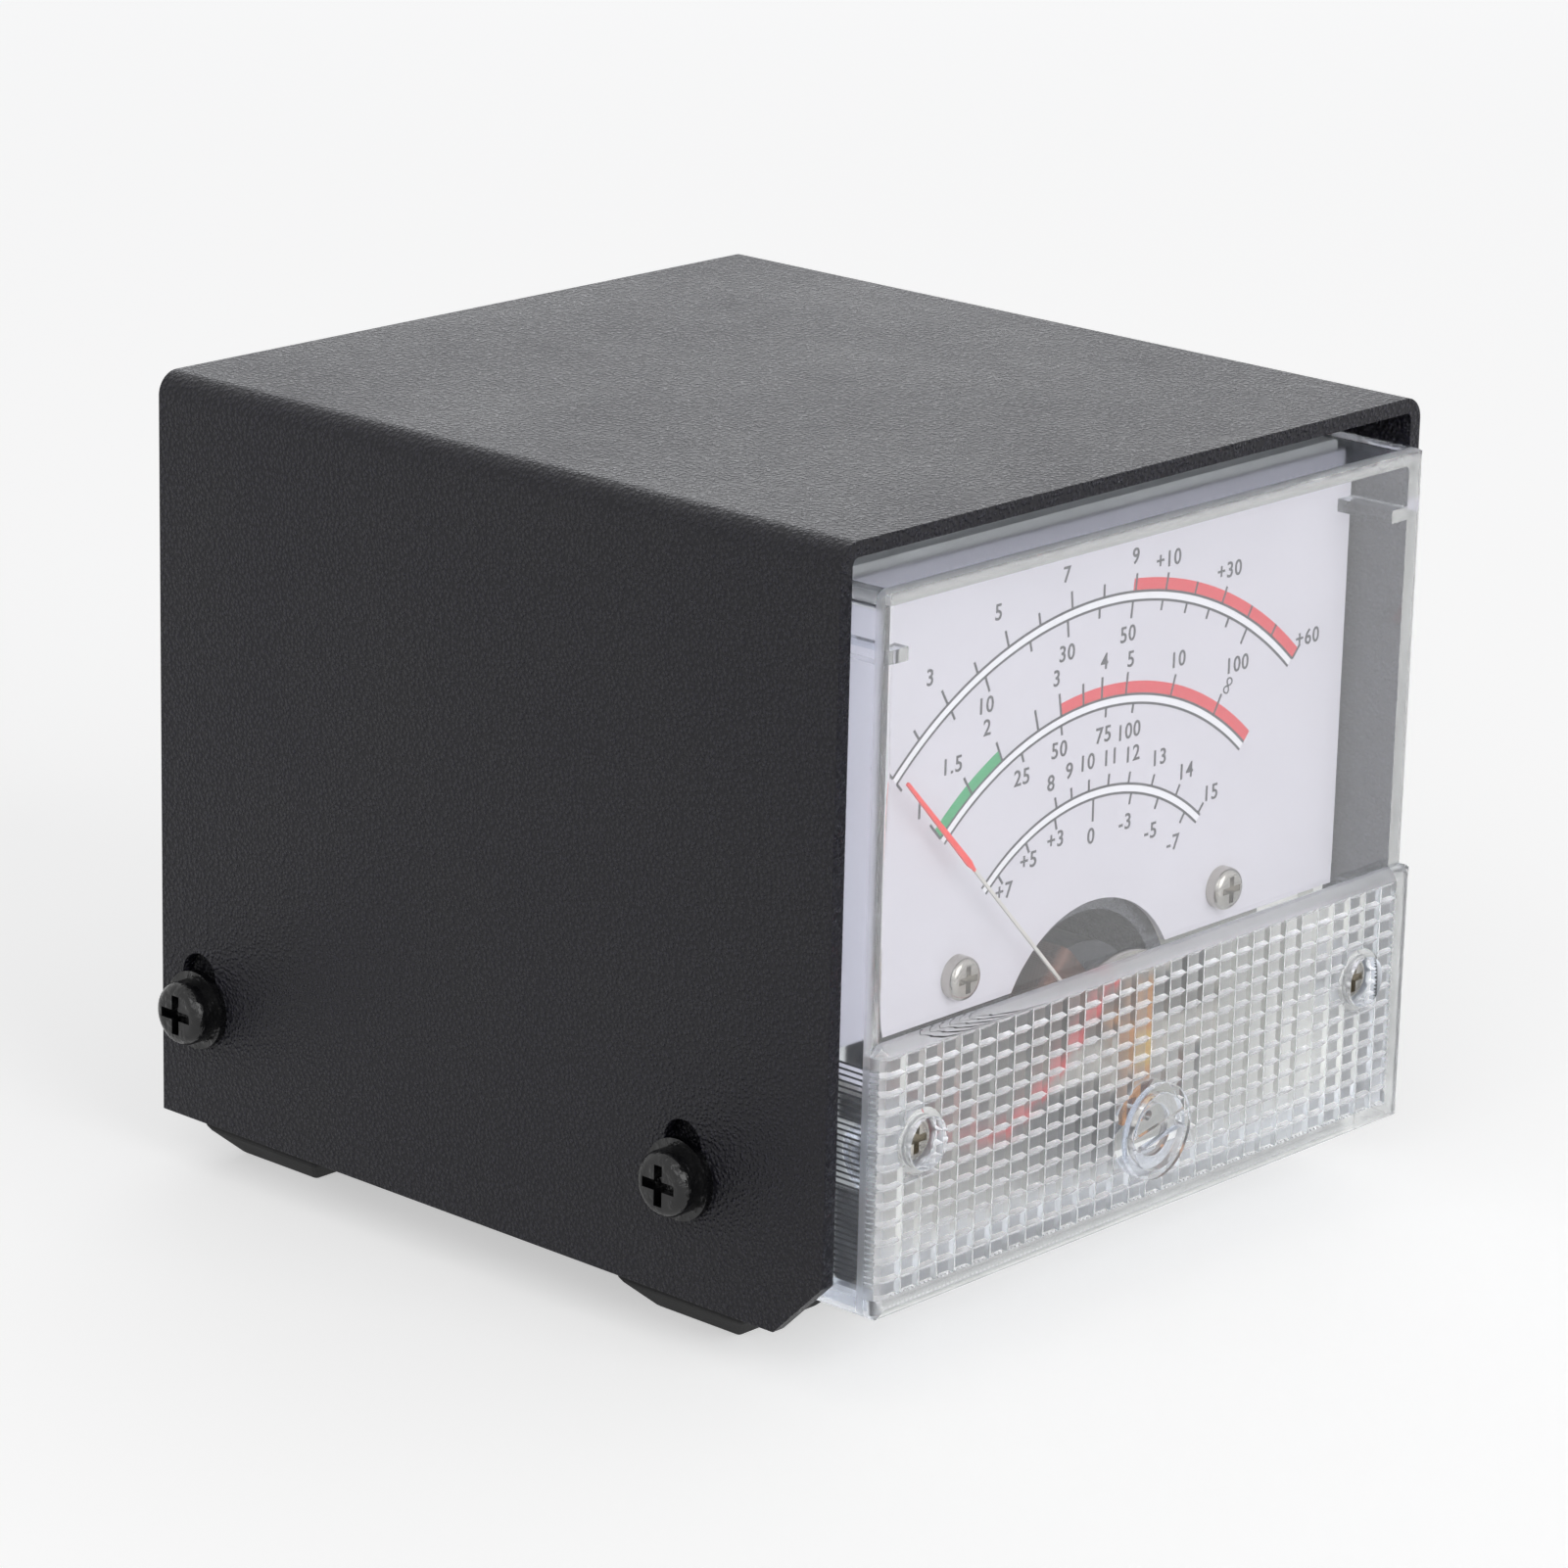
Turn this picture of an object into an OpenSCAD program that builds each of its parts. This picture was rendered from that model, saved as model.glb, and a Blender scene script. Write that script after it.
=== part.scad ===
// Free-standing analogue meter for a radio bench: a folded black case around a clear-fronted
// moving-coil meter. +X is the reader's right, the dial faces -Y and the feet stand on z = 0.
// Sizes are millimetres. Inside the modules y is counted from the cover's front edge.

/* [Clear meter front] */
// Width of the clear front
lens_w = 61.4; // [56:0.2:70]
// Height of the clear front
lens_h = 53.3; // [50:0.1:60]
// Wall of the clear moulding
lens_wall = 1.3; // [1:0.1:1.8]
// How far the window stands in front of the cover's edge
window_out = 2.3; // [0.6:0.1:4]
// How far the lower block stands in front of the window
block_step = 0.9; // [0.4:0.1:2]
// Height of the lower block
block_h = 20.7; // [18.5:0.1:21.5]
// Depth of the clear skirt, window face to joint line
skirt_d = 8.8; // [7.9:0.1:9.9]
// Radius of the clear front's outer edges
lens_edge_r = 0.9; // [0.4:0.1:1.2]
// Columns of moulded prisms
prism_cols = 30; // [10:1:40]
// Rows of moulded prisms
prism_rows = 13; // [5:1:16]
// Height of each prism
prism_h = 0.4; // [0.2:0.05:0.5]
// Pitch of the fine ribs inside the lower block's walls
rib_pitch = 0.45; // [0.4:0.05:1.2]
// Height of the fine ribs
rib_h = 0.2; // [0.1:0.02:0.24]
// Where a prism's flat top ends, as a share of its pitch
prism_top = 0.8; // [0.7:0.05:0.9]

/* [Dial and movement] */
// Height of the pointer's axis above the bottom of the clear front
pivot_rise = 12.7; // [12.5:0.1:13.5]
// Gap between the dial plate and each side wall of the clear front
dial_side_gap = 0.2; // [0.1:0.05:1.5]
// Gap between the dial plate and the top wall of the clear front
dial_top_gap = 0.8; // [0.3:0.1:2]
// How far the dial plate reaches down behind the lower block
dial_tuck = 1.3; // [0.4:0.1:3]
// Thickness of the dial plate
dial_t = 0.5; // [0.3:0.1:0.8]
// Gap between the window's inner face and the dial
dial_gap = 5.2; // [5.2:0.1:5.5]
// Radius of the dial's cut-out round the axis
cutout_r = 10.3; // [9.4:0.1:11.5]
// Spacing of the two dial screws
dial_screw_pitch = 30.4; // [28:0.2:38]
// Length of the pointer from its axis to its tip
pointer_l = 33.8; // [22:0.2:36]
// Angle of the pointer's zero mark, left of straight up
rest_a = 43.4; // [35:0.1:45]
// Outer radius of the iron yoke ring
yoke_r = 10.6; // [10.2:0.1:10.6]
// Wall of the yoke ring
yoke_t = 1.4; // [0.8:0.1:1.4]
// Radius of the core magnet
core_r = 6.8; // [5:0.1:6.9]
// Length of the core magnet
core_l = 12; // [8:0.5:16]
// Half width of the moving coil
coil_r = 8.4; // [8.1:0.1:8.5]
// Build-up of the coil's winding
coil_t = 1.1; // [0.6:0.1:1.2]
// Breadth of the coil's band
coil_b = 5; // [3:0.2:5]

/* [Case] */
// Thickness of the cover's sheet
cover_t = 1.2; // [0.8:0.1:1.5]
// Depth of the cover, front edge to rear edge
case_d = 69; // [64:0.5:90]
// Gap between the clear front and each side of the cover
side_gap = 0.9; // [0.5:0.1:2]
// Gap between the clear front and the top of the cover
top_gap = 2.1; // [1:0.1:4]
// Outer radius of the cover's folds
fold_r = 1.8; // [1.6:0.1:3]
// Corner cut off each side at the lower front
corner_cut = 4.6; // [2:0.1:5]
// How far the cover's sides hang below the chassis
side_drop = 1; // [0:0.1:2]
// Thickness of the chassis sheet
chassis_t = 1; // [0.8:0.1:1.2]

/* [Feet] */
// Side of a foot where it is stuck on
foot_w = 12.7; // [9:0.1:14]
// Height of a foot
foot_h = 5.2; // [3.5:0.1:10]
// Bevel round the bottom of a foot
foot_bevel = 2.25; // [1:0.05:2.5]

/* [Rear socket and trimmer] */
// Radius of the plug bore
jack_bore_r = 1.8; // [1.75:0.01:1.82]
// Depth of the plug bore
jack_bore_l = 14; // [10:0.5:14]
// Height of the board's pillars
pillar_h = 8; // [5:0.5:12]

/* [Hidden] */
$fn = 64;
eps = 0.01;

// running gap between parts that slide or turn, and loose gap between seated parts
run_gap = 0.05;
seat_gap = 0.1;

// how far the field of prisms runs on into the walls round it
wall_lap = 0.2;

// heights
cover_z0 = foot_h - side_drop;
floor_z = foot_h + chassis_t;
lens_z0 = floor_z + 0.2;
lens_z1 = lens_z0 + lens_h;
block_z1 = lens_z0 + block_h;
pivot_z = lens_z0 + pivot_rise;
case_w = lens_w + 2 * (side_gap + cover_t);
case_h = lens_z1 + top_gap + cover_t;

// depths, from the cover's front edge
window_y = -window_out;
block_y = window_y - block_step;
window_in_y = window_y + lens_wall;
block_in_y = block_y + lens_wall;
joint_y = window_y + skirt_d;
dial_y = window_in_y + dial_gap;
base_t = 3.2;
panel_y = joint_y + base_t;
rear_y = case_d - 0.2;

// clear front
lip_l = 1.5;
boss_x = lens_w / 2 - 5.3;
boss_z = lens_z0 + 12.3;
boss_r = 2.5;
boss_y1 = joint_y - 4.5;
lens_screw_r = 1.3;
lens_screw_l = 8.4;
lens_screw_sink = 1.2;
lens_head_t = 1.2;
lens_seat_y = block_y + lens_screw_sink + lens_head_t;
catch_z = lens_z1 - 5.5;
catch_w = 1.9;
catch_h = 1;

// zero adjuster
zero_drop = 5.9;
zero_r = 2.95;
zero_rim = 0.7;
zero_pin_e = 1;
zero_pin_r = 0.4;

// movement, from front to back
pointer_y = dial_y - 1.9;
staff_r = 0.38;
hub_r = 1.1;
coil_y0 = dial_y - 1.2;
bracket_t = 0.8;
core_y = coil_y0 + coil_t + 0.3 + bracket_t;
bracket_y = core_y - bracket_t;
coil_y1 = core_y + core_l + 0.4 + coil_t;
frame_y = coil_y1 + 1.8;
frame_t = 1.5;
bridge_y = dial_y - 3.7;
bridge_t = 0.7;
lever_y = bridge_y - 0.5;
lever_t = 0.35;
spring_h = 0.3;
front_spring_y = pointer_y - 0.55;
rear_spring_y = coil_y1 + 0.8;
jewel_r = 1;
yoke_in_r = yoke_r - yoke_t;
stop_r = 5.2;
stop_a = 55.4;

// dial
dial_w = lens_w - 2 * (lens_wall + dial_side_gap);
dial_z0 = block_z1 - dial_tuck;
dial_h = lens_z1 - lens_wall - dial_top_gap - dial_z0;
dial_screw_rise = 1.3;
dial_screw_z = dial_z0 + dial_screw_rise;
tip_r = 1.2;

// back housing of the meter
flange_w = 6.7;
house_w = lens_w - 2 * flange_w;
house_z0 = pivot_z - yoke_r - 1.1;
house_z1 = lens_z1 - 9.7;
house_t = 1;
frame_post = 4;
house_y1 = frame_y + frame_t + frame_post;
house_floor = 1.5;
frame_screw_x = 14.5;
frame_screw_z = pivot_z - 6.6;
stud_x = lens_w / 2 - 3.7;
stud_hold = 2.2;
stud_out = 6;
stud_zs = [boss_z + 6.7, lens_z1 - 5.2];
stud_r = 1.5;
nut_af = 5.5;
nut_t = 2.4;
terminal_x = 11;
terminal_z = house_z1 - 10;
terminal_head_r = 3;
terminal_l = 12;
lug_t = 0.4;
lug_l = 9;

// chassis and its screws
chassis_w = case_w - 2 * cover_t - 2 * seat_gap;
ear_l = 8.3;
ear_z0 = floor_z + 1.8;
ear_h = 11.5;
screw_z = floor_z + 7.3;
screw_ys = [panel_y + 4, rear_y - 4];
screw_r = 1.45;
slot_r = 1.8;
slot_rise = 2.6;
foot_x = case_w / 2 - 9.5;
foot_ys = [panel_y + 0.75 + foot_w / 2, rear_y - 0.95 - foot_w / 2];

// rear socket, trimmer and board
board_t = 1.2;
board_z = floor_z + pillar_h;
board_w = 40;
board_l = 24;
board_y1 = rear_y - chassis_t - 1;
board_y0 = board_y1 - board_l;
jack_x = -11;
jack_z = board_z + board_t + 3.6;
jack_r = 3;
jack_out = 3.6;
jack_body = [8, 12, 7.2];
trim_x = 11;
trim_size = 6.6;
trim_z = board_z + board_t + trim_size / 2;
trim_hole_r = 2;
trim_rotor_r = 1.7;
pillar_x = 16;
pillar_y = board_y0 + 4;
wire_r = 0.6;

front_y = block_y - 0.6;
back_y = rear_y + jack_out;
mid_y = (front_y + back_y) / 2;

// Puts what is drawn from the cover's front edge into the part's frame.
module in_frame() {
    translate([0, -mid_y, 0]) children();
}

// Extrudes an outline seen from the front from depth y0 back to depth y1.
module slab(y0, y1) {
    translate([0, y1, 0]) rotate([90, 0, 0]) linear_extrude(y1 - y0) children();
}

// A round bar along the depth, at x, z, from y0 back to y1.
module bar(r, x, z, y0, y1) {
    translate([x, y0, z]) rotate([-90, 0, 0]) cylinder(r = r, h = y1 - y0);
}

// A ring along the depth.
module ring(r_out, r_in, x, z, y0, y1) {
    difference() {
        bar(r_out, x, z, y0, y1);
        bar(r_in, x, z, y0 - 1, y1 + 1);
    }
}

// A block given by its two opposite corners.
module block(a, b) {
    translate(a) cube(b - a);
}

// A rectangle from x0, y0 to x1, y1 with all its corners rounded.
module round_rect(x0, y0, x1, y1, r) {
    translate([x0 + r, y0]) square([x1 - x0 - 2 * r, y1 - y0]);
    translate([x0, y0 + r]) square([x1 - x0, y1 - y0 - 2 * r]);
    for (x = [x0 + r, x1 - r], y = [y0 + r, y1 - r]) translate([x, y]) circle(r);
}

// A rectangle from x0, y0 to x1, y1 with only the two corners at its low end rounded.
module round_low(x0, y0, x1, y1, r) {
    translate([x0 + r, y0]) square([x1 - x0 - 2 * r, y1 - y0]);
    translate([x0, y0 + r]) square([x1 - x0, y1 - y0 - r]);
    for (x = [x0 + r, x1 - r]) translate([x, y0 + r]) circle(r);
}

// A moulded box whose front and side edges are all rounded: the common part of its outlines
// seen from the front, from the side and from above.
module moulded_box(w, z0, z1, y0, y1, r) {
    intersection() {
        slab(y0, y1) round_rect(-w / 2, z0, w / 2, z1, r);
        translate([0, 0, z0 - 1]) linear_extrude(z1 - z0 + 2) round_low(-w / 2, y0, w / 2, y1, r);
        translate([-w, 0, 0]) rotate([90, 0, 90]) linear_extrude(2 * w)
            round_front(y0, z0, y1, z1, r);
    }
}

// A rectangle from x0, y0 to x1, y1 with the two corners on its left rounded.
module round_front(x0, y0, x1, y1, r) {
    translate([x0 + r, y0]) square([x1 - x0 - r, y1 - y0]);
    translate([x0, y0 + r]) square([x1 - x0, y1 - y0 - 2 * r]);
    for (y = [y0 + r, y1 - r]) translate([x0 + r, y]) circle(r);
}

// A cross recess cut into a head whose flat face is at depth y0.
module cross_recess(x, z, y0, size, depth) {
    for (a = [0, 90]) translate([x, y0, z]) rotate([0, a, 0])
        translate([-size / 2, -1, -size / 8]) cube([size, depth + 1, size / 4]);
}

// A pan-head screw that points back, with its seat at depth y0.
module pan_screw(x, z, y0, head_r, head_t, shank_r, shank_l) {
    crown = head_t * 0.45;
    difference() {
        translate([x, y0, z]) rotate([-90, 0, 0]) union() {
            rotate_extrude() {
                translate([0, -head_t]) square([head_r - crown, head_t]);
                translate([0, crown - head_t]) square([head_r, head_t - crown]);
                translate([head_r - crown, crown - head_t]) circle(crown);
            }
            cylinder(r = shank_r, h = shank_l);
        }
        cross_recess(x, z, y0 - head_t, head_r * 1.25, head_t * 0.5);
    }
}

// A hexagonal nut or pillar along the depth with a round hole.
module hex_nut(af, hole_r, x, z, y0, y1) {
    difference() {
        translate([x, y0, z]) rotate([-90, 30, 0])
            cylinder(r = af / sqrt(3), h = y1 - y0, $fn = 6);
        bar(hole_r, x, z, y0 - 1, y1 + 1);
    }
}

// A straight stretch of round wire between two points.
module rod(p, q, r) {
    v = q - p;
    len = norm(v);
    translate(p) rotate([0, acos(v[2] / len), atan2(v[1], v[0])]) cylinder(r = r, h = len);
}

// A smooth curve through a list of points, n steps to each stretch.
function curve(p, n) = [for (i = [0 : len(p) - 2], k = [0 : n - 1])
    let (a = p[max(i - 1, 0)], b = p[i], c = p[i + 1], d = p[min(i + 2, len(p) - 1)], t = k / n)
    b + t / 2 * (c - a) + t * t / 2 * (2 * a - 5 * b + 4 * c - d)
        + t * t * t / 2 * (3 * b - a - 3 * c + d), p[len(p) - 1]];

// Direction of a path at its point i.
function heading(p, i) = let (v = p[min(i + 1, len(p) - 1)] - p[max(i - 1, 0)]) v / norm(v);

// A round wire of radius r swept along a path as one closed skin of eight-sided rings.
module wire(path, r) {
    m = 8;
    n = len(path);
    up = [0.31, 0.17, 0.94];
    pts = [for (i = [0 : n - 1]) let (t = heading(path, i), u = cross(t, up) / norm(cross(t, up)),
        v = cross(t, u)) for (k = [0 : m - 1]) path[i] + r * (cos(45 * k) * u + sin(45 * k) * v)];
    sides = [for (i = [0 : n - 2], k = [0 : m - 1], half = [0, 1])
        let (a = i * m + k, b = i * m + (k + 1) % m)
        half == 0 ? [a, b, b + m] : [a, b + m, a + m]];
    ends = [[for (k = [m - 1 : -1 : 0]) k], [for (k = [0 : m - 1]) (n - 1) * m + k]];
    polyhedron(pts, concat(sides, ends), convexity = 6);
}

// ---- case ----

// Outline of the folded sheet seen from the front, set in by d.
module cover_outline(d) {
    w = case_w / 2 - d;
    r = fold_r - d;
    translate([-w, cover_z0 - 1]) square([2 * w, case_h - d - r - cover_z0 + 1]);
    translate([-w + r, cover_z0 - 1]) square([2 * (w - r), case_h - d - cover_z0 + 1]);
    for (s = [-1, 1]) translate([s * (w - r), case_h - d - r]) circle(r);
}

module top_cover() {
    color([0.14, 0.14, 0.15]) in_frame() difference() {
        slab(0, case_d) difference() {
            cover_outline(0);
            cover_outline(cover_t);
            translate([-case_w, cover_z0 - 2]) square([2 * case_w, 2]);
        }
        translate([-case_w, 0, cover_z0]) rotate([90, 0, 90]) linear_extrude(2 * case_w)
            polygon([[-1, -1], [corner_cut, -1], [corner_cut, 0], [0, corner_cut], [-1, corner_cut]]);
        for (y = screw_ys) translate([-case_w, y, screw_z]) rotate([90, 0, 90])
            linear_extrude(2 * case_w) {
                circle(slot_r);
                translate([0, slot_rise]) circle(slot_r);
                translate([-slot_r, 0]) square([2 * slot_r, slot_rise]);
            }
    }
}

// Outline of a chassis panel with rounded top corners.
module panel_outline(z1) {
    w = chassis_w / 2;
    translate([-w, foot_h]) square([2 * w, z1 - foot_h - 2]);
    translate([-w + 2, foot_h]) square([2 * w - 4, z1 - foot_h]);
    for (s = [-1, 1]) translate([s * (w - 2), z1 - 2]) circle(2);
}

// One ear of the chassis, folded back from a panel, drilled for its screw.
module ear(y0, y1, y_screw) {
    for (s = [-1, 1]) difference() {
        block([s > 0 ? chassis_w / 2 - chassis_t : -chassis_w / 2, y0, ear_z0],
            [s > 0 ? chassis_w / 2 : chassis_t - chassis_w / 2, y1, ear_z0 + ear_h]);
        translate([-case_w, y_screw, screw_z]) rotate([0, 90, 0])
            cylinder(r = screw_r + run_gap, h = 2 * case_w);
    }
}

module chassis() {
    house_gap = 0.25;
    color([0.16, 0.16, 0.17]) in_frame() {
        difference() {
            union() {
                block([-chassis_w / 2, panel_y, foot_h], [chassis_w / 2, rear_y, floor_z]);
                slab(panel_y, panel_y + chassis_t) panel_outline(lens_z1 - 0.5);
                slab(rear_y - chassis_t, rear_y) panel_outline(case_h - cover_t - 0.3);
                ear(panel_y, panel_y + ear_l, screw_ys[0]);
                ear(rear_y - ear_l, rear_y, screw_ys[1]);
            }
            slab(panel_y - 1, panel_y + chassis_t + 1)
                round_rect(-house_w / 2 - house_gap, house_z0 - house_gap,
                    house_w / 2 + house_gap, house_z1 + house_gap, 3);
            for (s = [-1, 1], z = stud_zs)
                bar(stud_r + 0.2, s * stud_x, z, panel_y - 1, panel_y + chassis_t + 1);
            bar(jack_r + seat_gap, jack_x, jack_z, rear_y - chassis_t - 1, rear_y + 1);
            bar(trim_hole_r, trim_x, trim_z, rear_y - chassis_t - 1, rear_y + 1);
            for (s = [-1, 1]) translate([s * pillar_x, pillar_y, foot_h - 1])
                cylinder(r = 1.25, h = chassis_t + 2);
        }
    }
}

module cover_screws() {
    color([0.1, 0.1, 0.1]) in_frame() for (s = [-1, 1], y = screw_ys)
        translate([s * (case_w / 2 + 0.6), y, screw_z]) rotate([0, 0, s * 90])
            pan_screw(0, 0, 0, 2.5, 1.9, screw_r, 6);
}

module cover_washers() {
    color([0.2, 0.2, 0.2]) in_frame() for (s = [-1, 1], y = screw_ys)
        translate([s * (case_w / 2 + 0.6), y, screw_z]) rotate([0, 0, s * 90])
            ring(3.1, screw_r + run_gap, 0, 0, 0, 0.6);
}

module feet() {
    w = foot_w / 2;
    b = foot_bevel;
    color([0.08, 0.08, 0.08]) in_frame() for (s = [-1, 1], y = foot_ys)
        translate([s * foot_x, y, 0]) intersection() {
            rotate([90, 0, 0]) linear_extrude(foot_w, center = true)
                polygon([[b - w, 0], [w - b, 0], [w, b], [w, foot_h], [-w, foot_h], [-w, b]]);
            rotate([90, 0, 90]) linear_extrude(foot_w, center = true)
                polygon([[b - w, 0], [w - b, 0], [w, b], [w, foot_h], [-w, foot_h], [-w, b]]);
        }
}

// ---- clear front ----

// The run of prisms across one direction: a flat-topped ridge for each pitch.
module ridges(len, count) {
    pitch = len / count;
    translate([-wall_lap, -eps]) square([len + 2 * wall_lap, 2 * eps]);
    for (i = [0 : count - 1]) translate([i * pitch, 0])
        polygon([[0, -eps], [pitch, -eps], [pitch, eps], [pitch * prism_top, prism_h],
            [pitch * (1 - prism_top), prism_h], [0, eps]]);
}

// The field of prisms moulded on the inside of the lower block: ridges one way cut by ridges
// the other way, which leaves a small flat-topped pyramid at each crossing.
module prism_field() {
    w = lens_w - 2 * lens_wall;
    h = block_h - 2 * lens_wall;
    intersection() {
        translate([-w / 2, block_in_y, lens_z0 + lens_wall - wall_lap])
            linear_extrude(h + 2 * wall_lap) ridges(w, prism_cols);
        translate([-w / 2 - wall_lap, block_in_y, lens_z0 + lens_wall]) rotate([90, 0, 90])
            linear_extrude(w + 2 * wall_lap) mirror([1, -1]) ridges(h, prism_rows);
    }
}

// Points of a run of fine ribs: it starts at a, goes along the unit vector u for len, and each
// rib rises along the unit vector v.
function rib_run(a, u, v, len) = let (n = floor(len / rib_pitch), p = len / n)
    [for (i = [0 : n - 1], half = [0, 1]) a + (i + half / 2) * p * u + half * rib_h * v];

// The hollow of the lower block seen from the front, with fine ribs on its floor and sides.
module ribbed_hollow(w, z0, z1) {
    m = 2 * rib_pitch;
    polygon(concat([[-w, z0]], rib_run([m - w, z0], [1, 0], [0, 1], 2 * (w - m)), [[w - m, z0], [w, z0]],
        rib_run([w, z0 + m], [0, 1], [-1, 0], z1 - z0 - 2 * m), [[w, z1 - m], [w, z1], [-w, z1]],
        rib_run([-w, z1 - m], [0, -1], [1, 0], z1 - z0 - 2 * m), [[-w, z0 + m]]));
}

module meter_lens() {
    w = lens_w / 2 - lens_wall;
    lip_y = joint_y - lip_l - seat_gap;
    z0 = lens_z0 + lens_wall;
    z1 = lens_z1 - lens_wall;
    color([0.85, 0.9, 0.93, 0.4]) in_frame() difference() {
        union() {
            difference() {
                union() {
                    moulded_box(lens_w, lens_z0, lens_z1, window_y, joint_y, lens_edge_r);
                    moulded_box(lens_w, lens_z0, block_z1, block_y, joint_y, lens_edge_r);
                }
                slab(window_in_y, joint_y + 1)
                    round_rect(-w, block_z1 - lens_wall - 2 * rib_pitch, w, z1, 0.5);
                slab(lip_y, joint_y + 1) round_rect(-w, z0, w, z1, 0.5);
                slab(block_in_y, lip_y + eps) ribbed_hollow(w, z0, block_z1 - lens_wall);
            }
            prism_field();
            for (s = [-1, 1]) bar(boss_r, s * boss_x, boss_z, block_in_y - 0.5, boss_y1);
            bar(zero_r + run_gap + zero_rim, 0, pivot_z - zero_drop, block_y - 0.5, block_in_y + 0.6);
            for (s = [-1, 1])
                block([s > 0 ? w - catch_w : -w - 0.5, window_in_y - 0.5, catch_z],
                    [s > 0 ? w + 0.5 : catch_w - w, dial_y - seat_gap, catch_z + catch_h]);
        }
        for (s = [-1, 1]) {
            bar(lens_screw_r + 0.15, s * boss_x, boss_z, block_y - 1, boss_y1 + 1);
            bar(2, s * boss_x, boss_z, block_y - 1, lens_seat_y);
        }
        bar(zero_r + run_gap, 0, pivot_z - zero_drop, block_y - 1, block_y + 0.7);
        bar(2 + run_gap, 0, pivot_z - zero_drop, block_y - 1, block_in_y + 1);
    }
}

module lens_screws() {
    color([0.75, 0.74, 0.7]) in_frame() for (s = [-1, 1])
        pan_screw(s * boss_x, boss_z, lens_seat_y, 1.75, lens_head_t, lens_screw_r, lens_screw_l);
}

// Clear screw in the front that moves the zero lever with a pin set off its centre.
module zero_adjuster() {
    z = pivot_z - zero_drop;
    color([0.88, 0.92, 0.95, 0.5]) in_frame() {
        difference() {
            union() {
                bar(zero_r, 0, z, block_y - 0.6, block_y + 0.7 - run_gap);
                bar(2, 0, z, block_y + 0.3, block_in_y + 0.6);
            }
            translate([0, 0, z]) rotate([0, -10, 0])
                translate([-zero_r, block_y - 1, -0.6]) cube([2 * zero_r, 1, 1.2]);
        }
        bar(zero_pin_r, 0, z + zero_pin_e, block_in_y + 0.5, bridge_y + 0.4);
    }
}

// ---- dial ----

module dial_outline() {
    low = dial_z0 - pivot_z;
    w = dial_w / 2;
    cx = sqrt(pow(cutout_r + tip_r, 2) - pow(low + tip_r, 2));
    k = cutout_r / (cutout_r + tip_r);
    difference() {
        translate([-w, low]) square([2 * w, dial_h]);
        circle(cutout_r, $fn = 128);
        for (s = [-1, 1]) polygon([[s * cx, low + tip_r], [s * cx, low - 1], [0, low - 1],
            [s * cx * k, (low + tip_r) * k]]);
        for (s = [-1, 1]) translate([s * dial_screw_pitch / 2, dial_screw_z - pivot_z])
            circle(0.9);
    }
    for (s = [-1, 1]) translate([s * cx, low + tip_r]) circle(tip_r);
}

module dial_plate() {
    color([0.93, 0.93, 0.93]) in_frame() slab(dial_y, dial_y + dial_t)
        translate([0, pivot_z]) dial_outline();
}

module dial_screws() {
    color([0.78, 0.76, 0.72]) in_frame() for (s = [-1, 1])
        pan_screw(s * dial_screw_pitch / 2, dial_screw_z, dial_y, 1.65, 1.2, 0.8, 6);
}

// ---- meter base ----

module meter_base() {
    w = lens_w / 2 - lens_wall - seat_gap;
    h = house_w / 2;
    color([0.86, 0.86, 0.82]) in_frame() difference() {
        union() {
            slab(joint_y, panel_y) round_rect(-lens_w / 2, lens_z0, lens_w / 2, lens_z1, 0.9);
            slab(joint_y - lip_l, joint_y) difference() {
                round_rect(-w, lens_z0 + lens_wall + seat_gap, w, lens_z1 - lens_wall - seat_gap, 0.5);
                round_rect(1.2 - w, lens_z0 + lens_wall + 0.7, w - 1.2,
                    lens_z1 - lens_wall - 1.2, 0.4);
            }
            slab(panel_y - 1, house_y1) round_rect(-h, house_z0, h, house_z1, 3);
            for (s = [-1, 1]) bar(boss_r, s * boss_x, boss_z, boss_y1 + seat_gap, joint_y + 1);
        }
        slab(joint_y - 2, house_y1 - house_floor)
            round_rect(house_t - h, house_z0 + house_t, h - house_t, house_z1 - house_t, 2);
        for (s = [-1, 1]) {
            bar(lens_screw_r, s * boss_x, boss_z, boss_y1, panel_y - 0.8);
            bar(stud_r + 0.05, s * terminal_x, terminal_z, joint_y, house_y1 + 1);
            for (z = stud_zs) bar(stud_r, s * stud_x, z, panel_y - stud_hold, panel_y + 1);
        }
    }
    color([0.86, 0.86, 0.82]) in_frame() for (s = [-1, 1])
        ring(2.2, 0.95, s * frame_screw_x, frame_screw_z, frame_y + frame_t,
            house_y1 - house_floor + 0.2);
}

module mounting_studs() {
    color([0.7, 0.7, 0.7]) in_frame() for (s = [-1, 1], z = stud_zs)
        bar(stud_r, s * stud_x, z, panel_y - stud_hold, panel_y + stud_out);
}

module mounting_nuts() {
    color([0.75, 0.75, 0.75]) in_frame() for (s = [-1, 1], z = stud_zs)
        hex_nut(nut_af, stud_r + run_gap, s * stud_x, z, panel_y + chassis_t,
            panel_y + chassis_t + nut_t);
}

module terminal_studs() {
    y = house_y1 - house_floor;
    color([0.75, 0.6, 0.3]) in_frame() for (s = [-1, 1]) {
        bar(terminal_head_r, s * terminal_x, terminal_z, y - 1, y);
        bar(stud_r, s * terminal_x, terminal_z, y - 0.5, y - 0.5 + terminal_l);
    }
}

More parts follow.
